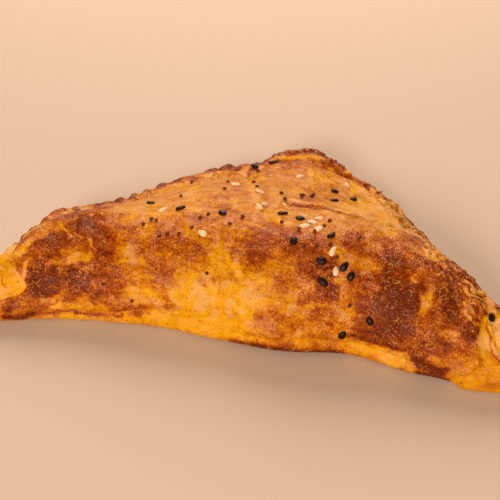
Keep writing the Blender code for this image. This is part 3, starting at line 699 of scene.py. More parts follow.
class CrustSettings(bpy.types.PropertyGroup):
    """Relief and colours of the glazed crust."""

    blister_size: length("Blister size", 3.2, "Distance between the blisters of the baked skin")
    blister_height: length("Blister height", 0.18, "How far the blisters stand out")
    grain_size: length("Grain size", 1.3, "Distance between the pimples of the baked skin")
    grain_height: length("Grain height", 0.04, "How far the pimples stand out")
    step_depth: length("Layer step", 1.15, "How high the steps between the flaky layers are")
    step_pitch: length("Layer pitch", 1.9, "Distance between the flaky layers' edges")
    dough: colour("Dough", "#EAC898", "Pale dough that the glaze doesn't cover")
    yellow: colour("Yellow", "#F8B800", "Glaze that hardly browned")
    golden: colour("Golden", "#E3AC00", "Lightly baked glaze")
    orange: colour("Orange", "#CD8300", "Well baked glaze")
    brown: colour("Brown", "#A04C00", "Dark baked glaze")
    burnt: colour("Burnt", "#682800", "Glaze baked almost black")
    # Colour of the painted sheen and glints, which stands in for the glaze's gleam
    painted_sheen: colour("Frost", "#EDAE82", "Dried foam on the glaze")
    crack: colour("Crack", "#E0A238", "Dough that shows in the skin's fine cracks")


class SeedSettings(bpy.types.PropertyGroup):
    """Sizes and colours of the seeds."""

    sesame_length: length("Sesame length", SESAME_SIZE[0], "Length of a sesame seed")
    sesame_width: length("Sesame width", SESAME_SIZE[1], "Width of a sesame seed")
    sesame_thickness: length("Sesame thickness", SESAME_SIZE[2], "Thickness of a sesame seed")
    poppy_size: length("Poppy size", POPPY_SIZE, "Length of a poppy seed")
    white: colour("White sesame", "#FFF6DC", "Hulled sesame, toasted")
    black: colour("Black sesame", "#26100A", "Black sesame")
    poppy: colour("Poppy", "#582A1A", "Poppy seed")


class FlakeSettings(bpy.types.PropertyGroup):
    """Sizes of the loose flakes."""

    flake_length: length("Flake length", 1.6, "Length of a loose flake of the pastry's top layer")
    flake_thickness: length("Flake thickness", 0.16, "Thickness of a loose flake")
    flake_count: IntProperty(name="Flakes", description="How many loose flakes there are", min=0, default=150)


class StageSettings(bpy.types.PropertyGroup):
    """Floor, lights and camera."""

    floor: colour("Floor", "#D5D3C5", "Plain pale floor")
    back_power: FloatProperty(name="Back light", description="Power of the soft light behind", unit="POWER",
                              min=0, default=6.7)
    front_power: FloatProperty(name="Front light", description="Power of the soft light in front",
                               unit="POWER", min=0, default=5.9)
    room_light: FloatProperty(name="Room light", description="Strength of the room's even light", min=0,
                              default=0.26)


def add(tree, kind, inputs=None, **settings):
    """Adds a node. An input takes a value, or another node's output, which it is linked to."""
    node = tree.nodes.new(kind)
    for name, value in settings.items():
        setattr(node, name, value)
    for name, value in (inputs or {}).items():
        if isinstance(value, bpy.types.NodeSocket):
            tree.links.new(value, node.inputs[name])
        else:
            node.inputs[name].default_value = value
    return node


def new_tree(name, sizes, counts=()):
    """A Geometry Nodes tree with a geometry input, named number inputs and a geometry output."""
    tree = bpy.data.node_groups.new(name, "GeometryNodeTree")
    tree.interface.new_socket("Geometry", in_out="INPUT", socket_type="NodeSocketGeometry")
    for label in sizes:
        tree.interface.new_socket(label, in_out="INPUT", socket_type="NodeSocketFloat")
    for label in counts:
        tree.interface.new_socket(label, in_out="INPUT", socket_type="NodeSocketInt")
    tree.interface.new_socket("Geometry", in_out="OUTPUT", socket_type="NodeSocketGeometry")
    return tree


def finish_tree(tree, geometry, material):
    """Ends a tree with real geometry that wears one material."""
    real = add(tree, "GeometryNodeRealizeInstances", {"Geometry": geometry})
    smooth = add(tree, "GeometryNodeSetShadeSmooth", {"Geometry": real.outputs[0], "Shade Smooth": True})
    worn = add(tree, "GeometryNodeSetMaterial", {"Geometry": smooth.outputs[0], "Material": material})
    add(tree, "NodeGroupOutput", {"Geometry": worn.outputs[0]})


def plain_mesh(obj, tree, values):
    """Runs a tree on an object with these inputs and keeps the result as the object's plain mesh."""
    modifier = obj.modifiers.new(tree.name, "NODES")
    modifier.node_group = tree
    for item in tree.interface.items_tree:
        if item.item_type == "SOCKET" and item.in_out == "INPUT" and item.name in values:
            modifier[item.identifier] = values[item.name]
    evaluated = obj.evaluated_get(bpy.context.evaluated_depsgraph_get())
    mesh = bpy.data.meshes.new_from_object(evaluated)
    mesh.name = obj.name
    obj.modifiers.clear()
    obj.data = mesh


def new_object(name, data):
    """An object in the scene that holds a mesh, a light or a camera."""
    obj = bpy.data.objects.new(name, data)
    bpy.context.scene.collection.objects.link(obj)
    return obj


def height_up(form):
    """Length up each slice from the fold's foot, over the crown and down to the back foot."""
    skin = form[:, UNDER_POINTS:]
    steps = np.linalg.norm(np.diff(skin[:, ::-1], axis=1), axis=2)
    up = np.concatenate([np.zeros((len(form), 1)), np.cumsum(steps, axis=1)], axis=1)[:, ::-1]
    return np.concatenate([np.zeros((len(form), UNDER_POINTS)), up], axis=1)


def painted(x, up, strokes, level, jitter):
    """Soft strokes laid one over another: each draws the level towards its own."""
    for cx, cu, along, across, turn, target in strokes:
        angle = math.radians(turn)
        dx, du = x - cx * MM, up - cu * MM
        p = (dx * math.cos(angle) + du * math.sin(angle)) / (along * MM)
        q = (du * math.cos(angle) - dx * math.sin(angle)) / (across * MM)
        level = towards(level, target, smoothstep(*STROKE_SOFT, np.hypot(p, q) + jitter))
    return level


def drawn(x, up, lines, level):
    """Thin soft lines, which draw the level towards their own."""
    for path, width, target in lines:
        gap = distance_to_path(x, up, path) / (width * MM)
        level = towards(level, target, np.exp(-gap * gap))
    return level


def flaky_zone(x, y):
    """1 where the layers show: on the right part and beside the right back edge."""
    zone = smoothstep(*LAYERS_SHOW, x + LAYERS_TURN * y)
    zone = zone * smoothstep(FLAKY_FRONT, FLAKY_FRONT + FLAKY_BAND, y)
    return np.maximum(zone, edge_band(x, y))


def layer_steps(grid, pitch):
    """The flaky layers: how far behind its layer's front edge every point is, from 0 to 1, and the layer's
    number."""
    ex, ey = EDGE_DIRECTION
    along = grid[..., 0] * ex + grid[..., 1] * ey
    across = grid[..., 1] * ex - grid[..., 0] * ey
    stretched = np.stack([along / (4 * pitch), across / (5 * pitch), grid[..., 2] / (5 * pitch)], axis=2)
    ragged = np.stack([along / (1.2 * pitch), across / (2 * pitch), grid[..., 2] / (2 * pitch)], axis=2)
    phase = (across + 1.2 * grid[..., 2]) / pitch
    phase = phase + 1.6 * noise_over(stretched, 1, 5) + 0.35 * noise_over(ragged, 1, 6)
    number = np.floor(phase)
    return phase - number, number


def bake_and_painted_light(form, pale):
    """How far every point of the crust is baked, with painted shade in the creases, at the fold's lip and
    foot and along the torn crease, and painted highlights along the tear's edges and on two ridges.
    """
    x, y, z = form[..., 0], form[..., 1], form[..., 2]
    up = height_up(form)
    near_x = x + STROKE_WARP * noise_over(form, WARP_SIZE, 21)
    near_up = up + STROKE_WARP * noise_over(form, WARP_SIZE, 22)
    jitter = STROKE_JITTER * sum(share * noise_over(form, size, seed) for size, share, seed in FRAYS)
    level = painted(near_x, near_up, BAKED_STROKES, np.full(x.shape, PLAIN_LEVEL), jitter)
    # Painted shade along the bottoms of the creases
    for path, width, depth in CREASES:
        gap = distance_to_path(x, y, path) / (0.4 * width * MM)
        level = level + CREASE_PAINTED_SHADE * depth * np.exp(-gap * gap)

    right = smoothstep(*RIM_RIGHT, x)
    narrower = RIM_NARROWER * smoothstep(*RIM_NARROW_FROM, x) * smoothstep(*RIM_NARROW_TO, x)
    start, full = RIM_REACH
    rim = smoothstep(start - narrower, full - 0.5 * narrower, back_edge(x) - y) * smoothstep(*RIM_HEIGHT, z)
    patches = smoothstep(-0.3, 0.3, noise_over(form, RIM_PATCH, 24) + 0.2 + 0.2 * right)
    level = towards(level, RIM_BAKED + RIM_RIGHT_MORE * right, rim * patches)
    line_up = towards(up, near_up, LINE_WARP)
    # Lines of bake, and lines of painted shade and highlight
    level = drawn(near_x, line_up, LINES_OF_BAKE_AND_LIGHT, level)

    # Painted shade at the fold's foot, near the ground
    wander = FOOT_WANDER * noise_over(form, 1.5 * FOOT_WANDER, 25)
    foot = smoothstep(*FOOT_HEIGHT, z) * smoothstep(*FOOT_START, x + wander)
    gap_start, gap_end = FOOT_GAP
    foot *= 1 - smoothstep(*gap_start, x) * smoothstep(*gap_end, x)
    level = towards(level, FOOT_PAINTED_SHADE, foot)

    dough = painted(near_x, near_up, END_STROKES, np.full(x.shape, END_LEVEL), jitter)
    return towards(level, drawn(near_x, line_up, END_LINES, dough), pale)


def closed_mesh(name, grid):
    """A mesh over the grid's slices, closed at the first and the last, with its faces outwards."""
    rows, across = grid.shape[:2]
    i = np.arange(rows - 1)[:, None] * across
    j = np.arange(across)[None, :]
    k = (j + 1) % across
    quads = np.stack([i + j, i + k, i + across + k, i + across + j], axis=2).reshape(-1, 4)
    caps = [list(range(across))[::-1], list(range((rows - 1) * across, rows * across))]
    mesh = bpy.data.meshes.new(name)
    mesh.from_pydata(grid.reshape(-1, 3).tolist(), [], quads.tolist() + caps)
    bm = bmesh.new()
    bm.from_mesh(mesh)
    bmesh.ops.triangulate(bm, faces=[face for face in bm.faces if len(face.verts) > 4])
    bmesh.ops.recalc_face_normals(bm, faces=bm.faces)
    bm.to_mesh(mesh)
    bm.free()
    return mesh


def crust_mesh(settings):
    """The pastry's form with the layers' steps and the rough rims. Its finish reads at every point how far it
    is baked, with painted shade and highlights drawn into that level, how flaky and how pale it is, and
    whether it is open to the air."""
    counts = (UNDER_POINTS, BACK_POINTS, SLOPE_POINTS, FRONT_POINTS)
    form = plain_form(STATIONS, *counts)
    x, y, z = form[..., 0], form[..., 1], form[..., 2]
    inset = back_edge(x) - y
    pale = pale_ends(x, y, z)
    above = smoothstep(*ROUGH_HEIGHT, z) * (1 - pale)
    flaky = flaky_zone(x, y) * smoothstep(*LAYERS_HEIGHT, z) * (1 - pale)
    behind, number = layer_steps(form, settings.step_pitch)
    broken = flaky * smoothstep(-0.5, 0.3, noise_over(form, LAYER_PATCH, 8))
    rim = smoothstep(FLAKY_BAND, 0.4 * FLAKY_BAND, inset)
    seam = smoothstep(LUMP_BAND, 0.6 * LUMP_BAND, inset) * smoothstep(*LUMP_END, x) * above
    lumpy = noise_over(form, LUMP_SIZE, 10)

    step = broken * ((1 - behind) * smoothstep(0, LAYER_RISE, behind) - LAYER_FALL)
    grid = raised(baked_form(STATIONS, *counts), settings.step_depth * step)
    rough = np.maximum(flaky, rim * above)
    grid = raised(grid, ROUGH_DEPTH * rough * noise_over(form, ROUGH_SIZE, 9))
    grid = raised(grid, LUMP_DEPTH * seam * (lumpy + 0.25))
    grid[..., 2] = np.maximum(grid[..., 2], 0)
    grid[..., :2] -= MIDDLE

    level = bake_and_painted_light(form, pale)
    # A fraction that jumps from layer to layer
    shade = np.sin(number * 12.9898) * 43758.5453
    level = level + broken * LAYER_SWING * (shade - np.floor(shade) - 0.5)
    level = level + LUMP_SWING * seam * np.clip(2 * lumpy, -1, 0.5)
    # Painted shade in the crevice behind each layer, and a painted highlight along each layer's front edge
    level = level + broken * LAYER_PAINTED_SHADE * smoothstep(0.6, 1.0, behind)
    middle, width = LAYER_HIGHLIGHT_STRIP
    edge_highlight = LAYER_PAINTED_HIGHLIGHT * (1 - 0.9 * rim) * np.exp(-(((behind - middle) / width) ** 2))
    level = np.clip(level - broken * edge_highlight, FLAKY_LEAST * flaky, 1)
    flecked = flaky * (1 - RIM_FLECKS_LESS * smoothstep(*RIM_FLECKS, inset))

    mesh = closed_mesh("crust", grid)
    known = {"baked": level, "flaky": flecked, "pale": pale, "open": smoothstep(0, 2.5 * MM, z)}
    for name, values in known.items():
        attribute = mesh.attributes.new(name, "FLOAT", "POINT")
        attribute.data.foreach_set("value", values.astype(np.float32).ravel())
    return mesh


def skin_relief(material):
    """Geometry Nodes: blisters and pimples of the baked skin, raised along the surface's own normal."""
    tree = new_tree("skin_relief", ("Blister size", "Blister height", "Grain size", "Grain height"))
    given = add(tree, "NodeGroupInput").outputs
    place = add(tree, "GeometryNodeInputPosition").outputs[0]
    normal = add(tree, "GeometryNodeInputNormal").outputs[0]
    free = add(tree, "GeometryNodeInputNamedAttribute", {"Name": "open"}, data_type="FLOAT").outputs[0]
    blister_scale = add(tree, "ShaderNodeMath", {0: 1.0, 1: given["Blister size"]}, operation="DIVIDE")
    grain_scale = add(tree, "ShaderNodeMath", {0: 1.0, 1: given["Grain size"]}, operation="DIVIDE")
    cells = add(tree, "ShaderNodeTexVoronoi", {
        "Vector": place, "Scale": blister_scale.outputs[0], "Smoothness": 0.35, "Randomness": 1.0,
    }, feature="SMOOTH_F1")
    domes = add(tree, "ShaderNodeMapRange", {
        "Value": cells.outputs["Distance"], "From Min": 0.75, "From Max": 0.1, "To Min": -0.4, "To Max": 0.6,
    }, interpolation_type="SMOOTHSTEP")
    grain = add(tree, "ShaderNodeTexNoise", {
        "Vector": place, "Scale": grain_scale.outputs[0], "Detail": 2.0, "Roughness": 0.6,
    })
    pimples = add(tree, "ShaderNodeMapRange", {
        "Value": grain.outputs[0], "From Min": 0.3, "From Max": 0.7, "To Min": -0.5, "To Max": 0.5,
    })
    blistered = add(tree, "ShaderNodeMath", {0: domes.outputs[0], 1: given["Blister height"]},
                    operation="MULTIPLY")
    moved = add(tree, "ShaderNodeMath", {
        0: pimples.outputs[0], 1: given["Grain height"], 2: blistered.outputs[0],
    }, operation="MULTIPLY_ADD")
    held = add(tree, "ShaderNodeMath", {0: moved.outputs[0], 1: free}, operation="MULTIPLY")
    offset = add(tree, "ShaderNodeVectorMath", {0: normal, "Scale": held.outputs[0]}, operation="SCALE")
    shaped = add(tree, "GeometryNodeSetPosition", {
        "Geometry": given["Geometry"], "Offset": offset.outputs[0],
    })
    finish_tree(tree, shaped.outputs[0], material)
    return tree


def drawn_out(tree, place, turn, sizes):
    """Noise of these sizes in millimetres, along a direction seen from above, across it and upwards."""
    turned = add(tree, "ShaderNodeVectorRotate", {"Vector": place, "Angle": -turn}, rotation_type="Z_AXIS")
    scaled = add(tree, "ShaderNodeVectorMath", {
        0: turned.outputs[0], 1: [1 / (size * MM) for size in sizes],
    }, operation="MULTIPLY")
    field = add(tree, "ShaderNodeTexNoise", {
        "Vector": scaled.outputs[0], "Scale": 1.0, "Detail": 2.0, "Roughness": 0.6,
    })
    return field.outputs[0]


def toasted(tree, place, level, pale, flaky, pimples):
    """The level with its mottles, the painted shade between the pimples, streaks, specks and torn flecks, and
    the broadest of the mottles.
    """
    lively = add(tree, "ShaderNodeMath", {0: level, 1: MOTTLE_LEAST}, operation="ADD")
    calm = add(tree, "ShaderNodeMath", {0: pale, 1: -MOTTLE_PALE_LESS, 2: lively.outputs[0]},
               operation="MULTIPLY_ADD")
    fields = []
    for size, swing in MOTTLES:
        field = add(tree, "ShaderNodeTexNoise", {
            "Vector": place, "Scale": 1 / (size * MM), "Detail": 2.0, "Roughness": 0.6,
        })
        fields.append((field.outputs[0], 0.3, 0.7, swing))
    broad = fields[0][0]
    # Painted shade in the hollows between the pimples
    fields.append((pimples, 0.15, 0.65, PIMPLE_PAINTED_SHADE))
    fields.append((drawn_out(tree, place, STREAK_TURN, STREAK_SIZES), 0.3, 0.7, STREAK_SWING))
    toast = level
    for field, low, high, swing in fields:
        share = add(tree, "ShaderNodeMapRange", {
            "Value": field, "From Min": low, "From Max": high, "To Min": -swing, "To Max": swing,
        })
        toast = add(tree, "ShaderNodeMath", {0: share.outputs[0], 1: calm.outputs[0], 2: toast},
                    operation="MULTIPLY_ADD").outputs[0]

    # Sparse burnt specks
    specks = add(tree, "ShaderNodeTexVoronoi", {"Vector": place, "Scale": 1 / (SPECK_GAP * MM)}, feature="F1")
    speck = add(tree, "ShaderNodeMapRange", {
        "Value": specks.outputs["Distance"], "From Min": SPECK_RADIUS, "From Max": 0.5 * SPECK_RADIUS,
        "To Min": 0.0, "To Max": SPECK_DARKER,
    })
    toast = add(tree, "ShaderNodeMath", {0: speck.outputs[0], 1: toast}, operation="ADD").outputs[0]
    # Torn flecks of the layers below, drawn out along the right back edge: partly pale dough and partly
    # painted highlight
    flecks = drawn_out(tree, place, math.atan2(EDGE_DIRECTION[1], EDGE_DIRECTION[0]), FLECK_SIZES)
    torn = add(tree, "ShaderNodeMapRange", {
        "Value": flecks, "From Min": 0.56, "From Max": 0.65, "To Min": 0.0, "To Max": -FLECK_SWING,
    }, interpolation_type="SMOOTHSTEP")
    toast = add(tree, "ShaderNodeMath", {0: torn.outputs[0], 1: flaky, 2: toast},
                operation="MULTIPLY_ADD").outputs[0]
    least = add(tree, "ShaderNodeMath", {0: flaky, 1: FLECK_LEAST}, operation="MULTIPLY")
    toast = add(tree, "ShaderNodeMath", {0: toast, 1: least.outputs[0]}, operation="MAXIMUM").outputs[0]
    return toast, broad


def sheen_painted(tree, place, level, flaky, pimples, settings):
    """How strongly the skin's colour is painted with sheen and glints, pale pinkish patches that also lie on
    the tops of the pimples, and in which colour."""
    sheen = add(tree, "ShaderNodeTexNoise", {
        "Vector": place, "Scale": 1 / (SHEEN_PATCH_SIZE * MM), "Detail": 3.0, "Roughness": 0.6,
    })
    sheen_field = add(tree, "ShaderNodeMath", {0: flaky, 1: SHEEN_FLAKY, 2: sheen.outputs[0]},
              operation="MULTIPLY_ADD")
    strength = add(tree, "ShaderNodeMapRange", {
        "Value": level, "From Min": 0.5, "From Max": 0.9, "To Min": SHEEN_SHARE, "To Max": 0.6 * SHEEN_SHARE,
    })
    sheen_spread = add(tree, "ShaderNodeMapRange", {
        "Value": sheen_field.outputs[0], "From Min": 0.5, "From Max": 0.59, "To Min": 0.0,
        "To Max": strength.outputs[0],
    }, interpolation_type="SMOOTHSTEP")
    apart = add(tree, "ShaderNodeSeparateXYZ", {"Vector": place})
    clear = add(tree, "ShaderNodeMapRange", {
        "Value": apart.outputs["Z"], "From Min": SHEEN_HEIGHT[0], "From Max": SHEEN_HEIGHT[1],
        "To Min": SHEEN_FOOT, "To Max": 1.0,
    })
    sheen_spread = add(tree, "ShaderNodeMath", {0: sheen_spread.outputs[0], 1: clear.outputs[0]}, operation="MULTIPLY")
    low, high = SHEEN_LEVELS
    between = add(tree, "ShaderNodeMapRange", {
        "Value": level, "From Min": low, "From Max": high, "To Min": 0.5, "To Max": 0.0,
    })
    # Painted glints on the tops of the pimples
    caps = add(tree, "ShaderNodeMapRange", {
        "Value": pimples, "From Min": 0.45, "From Max": 0.15, "To Min": between.outputs[0], "To Max": 1.0,
    })
    painted_sheen = add(tree, "ShaderNodeMath", {0: sheen_spread.outputs[0], 1: caps.outputs[0]}, operation="MULTIPLY")
    browner = add(tree, "ShaderNodeMapRange", {
        "Value": level, "From Min": low, "From Max": high, "To Min": 0.0, "To Max": 1.0,
    })
    sheen_tint = add(tree, "ShaderNodeMix", {
        "Factor": browner.outputs[0], "A": settings.dough, "B": settings.painted_sheen,
    }, data_type="RGBA")
    return painted_sheen.outputs[0], sheen_tint.outputs["Result"]


def cracked(tree, place, level):
    """How far the skin's cracks are open: edges of warped cells, whose width swells and fades in patches,
    where the bake is dark. Gives the patches too."""
    bend = add(tree, "ShaderNodeTexNoise", {
        "Vector": place, "Scale": 1 / (CRACK_BEND_SIZE * MM), "Detail": 2.0,
    })
    centred = add(tree, "ShaderNodeVectorMath", {0: bend.outputs["Color"], 1: (0.5, 0.5, 0.5)},
                  operation="SUBTRACT")
    shift = add(tree, "ShaderNodeVectorMath", {0: centred.outputs[0], "Scale": CRACK_BEND * MM},
                operation="SCALE")
    bent = add(tree, "ShaderNodeVectorMath", {0: place, 1: shift.outputs[0]}, operation="ADD")
    cells = add(tree, "ShaderNodeTexVoronoi", {
        "Vector": bent.outputs[0], "Scale": 1 / (CRACK_SIZE * MM), "Randomness": 1.0,
    }, feature="DISTANCE_TO_EDGE")
    patchy = add(tree, "ShaderNodeTexNoise", {
        "Vector": place, "Scale": 1 / (CRACK_PATCH * MM), "Detail": 1.0,
    })
    swell = add(tree, "ShaderNodeMapRange", {
        "Value": patchy.outputs[0], "From Min": 0.38, "From Max": 0.62, "To Min": -0.02,
        "To Max": CRACK_WIDTH,
    })
    dark = add(tree, "ShaderNodeMapRange", {
        "Value": level, "From Min": 0.5, "From Max": 0.72, "To Min": 0.0, "To Max": 0.85,
    })
    inside = add(tree, "ShaderNodeMath", {0: swell.outputs[0], 1: cells.outputs["Distance"]},
                 operation="SUBTRACT")
    line = add(tree, "ShaderNodeMath", {0: inside.outputs[0], 1: 40.0}, operation="MULTIPLY", use_clamp=True)
    gap = add(tree, "ShaderNodeMath", {0: line.outputs[0], 1: dark.outputs[0]}, operation="MULTIPLY")
    return gap.outputs[0], patchy.outputs[0]


def crust_finish(settings):
    """Puff pastry under a baked glaze: sugars and starch browned unevenly, satin where the glaze is whole,
    duller and yellow where dough shows in fine cracks. Painted shade lies between the pimples, and painted
    sheen and glints lie in pale pinkish patches."""
    material = bpy.data.materials.new("baked_glaze_on_puff_pastry")
    material.use_nodes = True
    tree = material.node_tree
    shader = tree.nodes["Principled BSDF"]
    place = add(tree, "ShaderNodeTexCoord").outputs["Object"]
    level, pale, flaky = (
        add(tree, "ShaderNodeAttribute", attribute_name=name).outputs["Fac"]
        for name in ("baked", "pale", "flaky")
    )
    cells = add(tree, "ShaderNodeTexVoronoi", {
        "Vector": place, "Scale": 1 / (PIMPLE_SIZE * MM),
    }, feature="F1")
    pimples = cells.outputs["Distance"]
    toast, broad = toasted(tree, place, level, pale, flaky, pimples)
    painted_sheen, sheen_colour = sheen_painted(tree, place, level, flaky, pimples, settings)
    crack, patchy = cracked(tree, place, level)

    ramp = add(tree, "ShaderNodeValToRGB", {"Fac": toast})
    stops = [(position, getattr(settings, name)) for name, position in BAKE_STOPS]
    elements = ramp.color_ramp.elements
    elements[0].position, elements[0].color = stops[0]
    elements[1].position, elements[1].color = stops[-1]
    for position, shade in stops[1:-1]:
        elements.new(position).color = shade
    # Painted sheen and glints mixed into the colour
    with_painted_sheen = add(tree, "ShaderNodeMix", {
        "Factor": painted_sheen, "A": ramp.outputs["Color"], "B": sheen_colour,
    }, data_type="RGBA")
    tinted = add(tree, "ShaderNodeMix", {
        "Factor": crack, "A": with_painted_sheen.outputs["Result"], "B": settings.crack,
    }, data_type="RGBA")
    tree.links.new(tinted.outputs["Result"], shader.inputs["Base Color"])

    rough = add(tree, "ShaderNodeMapRange", {
        "Value": broad, "From Min": 0.3, "From Max": 0.7, "To Min": GLAZE_ROUGHNESS[0],
        "To Max": GLAZE_ROUGHNESS[1],
    })
    duller = add(tree, "ShaderNodeMath", {0: pale, 1: PALE_DULLER, 2: rough.outputs[0]},
                 operation="MULTIPLY_ADD")
    tree.links.new(duller.outputs[0], shader.inputs["Roughness"])

    height = crack
    for size, depth in GRAINS:
        grain = add(tree, "ShaderNodeTexNoise", {
            "Vector": place, "Scale": 1 / (size * MM), "Detail": 1.0, "Roughness": 0.5,
        })
        height = add(tree, "ShaderNodeMath", {0: grain.outputs[0], 1: depth / GRAIN_UNIT, 2: height},
                     operation="MULTIPLY_ADD").outputs[0]
    depth = add(tree, "ShaderNodeMapRange", {
        "Value": patchy, "From Min": 0.35, "From Max": 0.65, "To Min": -0.3 * PIMPLE_DEPTH / GRAIN_UNIT,
        "To Max": -1.7 * PIMPLE_DEPTH / GRAIN_UNIT,
    })
    height = add(tree, "ShaderNodeMath", {0: pimples, 1: depth.outputs[0], 2: height},
                 operation="MULTIPLY_ADD").outputs[0]
    bump = add(tree, "ShaderNodeBump", {"Strength": 1.0, "Distance": GRAIN_UNIT * MM, "Height": height})
    tree.links.new(bump.outputs[0], shader.inputs["Normal"])
    shader.inputs["IOR"].default_value = 1.45
    shader.inputs["Specular IOR Level"].default_value = 0.19
    return material


def seed_places(tree):
    """Where the seeds lie on the crust: lists of (place, normal, turn) for the black sesame, the white
    sesame and the poppy seeds. The largest are placed first, and each poppy seed keeps clear of them."""
    sesames = []
    for rows in (BLACK_SESAMES, WHITE_SESAMES):
        found = []
        for x, y, z, turn in rows:
            place, normal, _, _ = tree.find_nearest(Vector((x, y, z)) * MM)
            found.append((place, normal, math.radians(turn)))
        sesames.append(found)
    draw = random.Random(SEED_DRAW)
    taken = [place.xy for found in sesames for place, _, _ in found]
    poppies = []
    for x, y, along, across, count in POPPY_DRIFTS:
        for _ in range(count):
            spot = Vector((draw.gauss(x, along), draw.gauss(y, across))) * MM
            turn = draw.uniform(0, math.tau)
            crowded = any((spot - other).length < POPPY_GAP for other in taken)
            inside = front_edge(spot.x) + POPPY_GAP < spot.y < back_edge(spot.x) - POPPY_GAP
            if crowded or not inside:
                continue
            place, normal, _, _ = tree.ray_cast(Vector((spot.x, spot.y, 1)), Vector((0, 0, -1)))
            poppies.append((place, normal, turn))
            taken.append(spot)
    return sesames[0], sesames[1], poppies


def lying_on(place, normal, turn, lift):
    """A frame lifted from a place on the crust: its z along the normal, its x turned about it."""
    side = Vector((1, 0, 0))
    side = (side - normal * side.dot(normal)).normalized()
    ahead = normal.cross(side)
    along = side * math.cos(turn) + ahead * math.sin(turn)
    rotation = Matrix((along, normal.cross(along), normal)).transposed()
    return Matrix.Translation(place + normal * lift) @ rotation.to_4x4()


def turned_points(name, places):
    """A mesh of one point for each (frame, size), which keeps the frame's rotation and the size."""
    mesh = bpy.data.meshes.new(name)
    mesh.from_pydata([here.translation for here, _ in places], [], [])
    mesh.attributes.new("rotation", "QUATERNION", "POINT")
    mesh.attributes.new("size", "FLOAT_VECTOR", "POINT")
    # Both are fetched last, because making one moves the others
    turned, sized = mesh.attributes["rotation"], mesh.attributes["size"]
    for i, (here, size) in enumerate(places):
        turned.data[i].value = here.to_quaternion()
        sized.data[i].vector = size
    return mesh


def scattered(tree, points, shape):
    """A real copy of a shape on every point, turned and sized as the point says."""
    turned = add(tree, "GeometryNodeInputNamedAttribute", {"Name": "rotation"}, data_type="QUATERNION")
    sized = add(tree, "GeometryNodeInputNamedAttribute", {"Name": "size"}, data_type="FLOAT_VECTOR")
    placed = add(tree, "GeometryNodeInstanceOnPoints", {
        "Points": points, "Instance": shape, "Rotation": turned.outputs[0], "Scale": sized.outputs[0],
    })
    return add(tree, "GeometryNodeRealizeInstances", {"Geometry": placed.outputs[0]}).outputs[0]


def seed_points(name, places, draw):
    """One point for each seed, with a slightly uneven size."""
    return turned_points(name, [
        (lying_on(place, normal, turn, 0), [draw.uniform(*SEED_SIZES) for _ in range(3)])
        for place, normal, turn in places
    ])


def seed_tree(material):
    """Geometry Nodes: one drop-shaped seed on every point, partly sunk, its skin slightly uneven."""
    tree = new_tree("seeds", ("Length", "Width", "Thickness", "Taper", "Lift", "Unevenness", "Pattern"))
    given = add(tree, "NodeGroupInput").outputs
    ball = add(tree, "GeometryNodeMeshUVSphere", {"Segments": 16, "Rings": 10, "Radius": 0.5})
    lying = add(tree, "GeometryNodeTransform", {
        "Geometry": ball.outputs["Mesh"], "Rotation": (0.0, math.pi / 2, 0.0),
    })
    place = add(tree, "GeometryNodeInputPosition").outputs[0]
    split = add(tree, "ShaderNodeSeparateXYZ", {"Vector": place})
    twice = add(tree, "ShaderNodeMath", {0: split.outputs["X"], 1: -2.0}, operation="MULTIPLY")
    narrow = add(tree, "ShaderNodeMath", {0: twice.outputs[0], 1: given["Taper"], 2: 1.0},
                 operation="MULTIPLY_ADD")
    along = add(tree, "ShaderNodeMath", {0: split.outputs["X"], 1: given["Length"]}, operation="MULTIPLY")
    wide = add(tree, "ShaderNodeMath", {0: split.outputs["Y"], 1: given["Width"]}, operation="MULTIPLY")
    wide_here = add(tree, "ShaderNodeMath", {0: wide.outputs[0], 1: narrow.outputs[0]}, operation="MULTIPLY")
    thick = add(tree, "ShaderNodeMath", {0: split.outputs["Z"], 1: given["Thickness"], 2: given["Lift"]},
                operation="MULTIPLY_ADD")
    joined = add(tree, "ShaderNodeCombineXYZ", {
        "X": along.outputs[0], "Y": wide_here.outputs[0], "Z": thick.outputs[0],
    })
    drop = add(tree, "GeometryNodeSetPosition", {"Geometry": lying.outputs[0], "Position": joined.outputs[0]})
    real = scattered(tree, given["Geometry"], drop.outputs[0])
    spot = add(tree, "GeometryNodeInputPosition").outputs[0]
    normal = add(tree, "GeometryNodeInputNormal").outputs[0]
    scale = add(tree, "ShaderNodeMath", {0: 1.0, 1: given["Pattern"]}, operation="DIVIDE")
    bumps = add(tree, "ShaderNodeTexNoise", {"Vector": spot, "Scale": scale.outputs[0], "Detail": 1.0})
    centred = add(tree, "ShaderNodeMath", {0: bumps.outputs[0], 1: 0.5}, operation="SUBTRACT")
    moved = add(tree, "ShaderNodeMath", {0: centred.outputs[0], 1: given["Unevenness"]}, operation="MULTIPLY")
    offset = add(tree, "ShaderNodeVectorMath", {0: normal, "Scale": moved.outputs[0]}, operation="SCALE")
    uneven = add(tree, "GeometryNodeSetPosition", {"Geometry": real, "Offset": offset.outputs[0]})
    finish_tree(tree, uneven.outputs[0], material)
    return tree


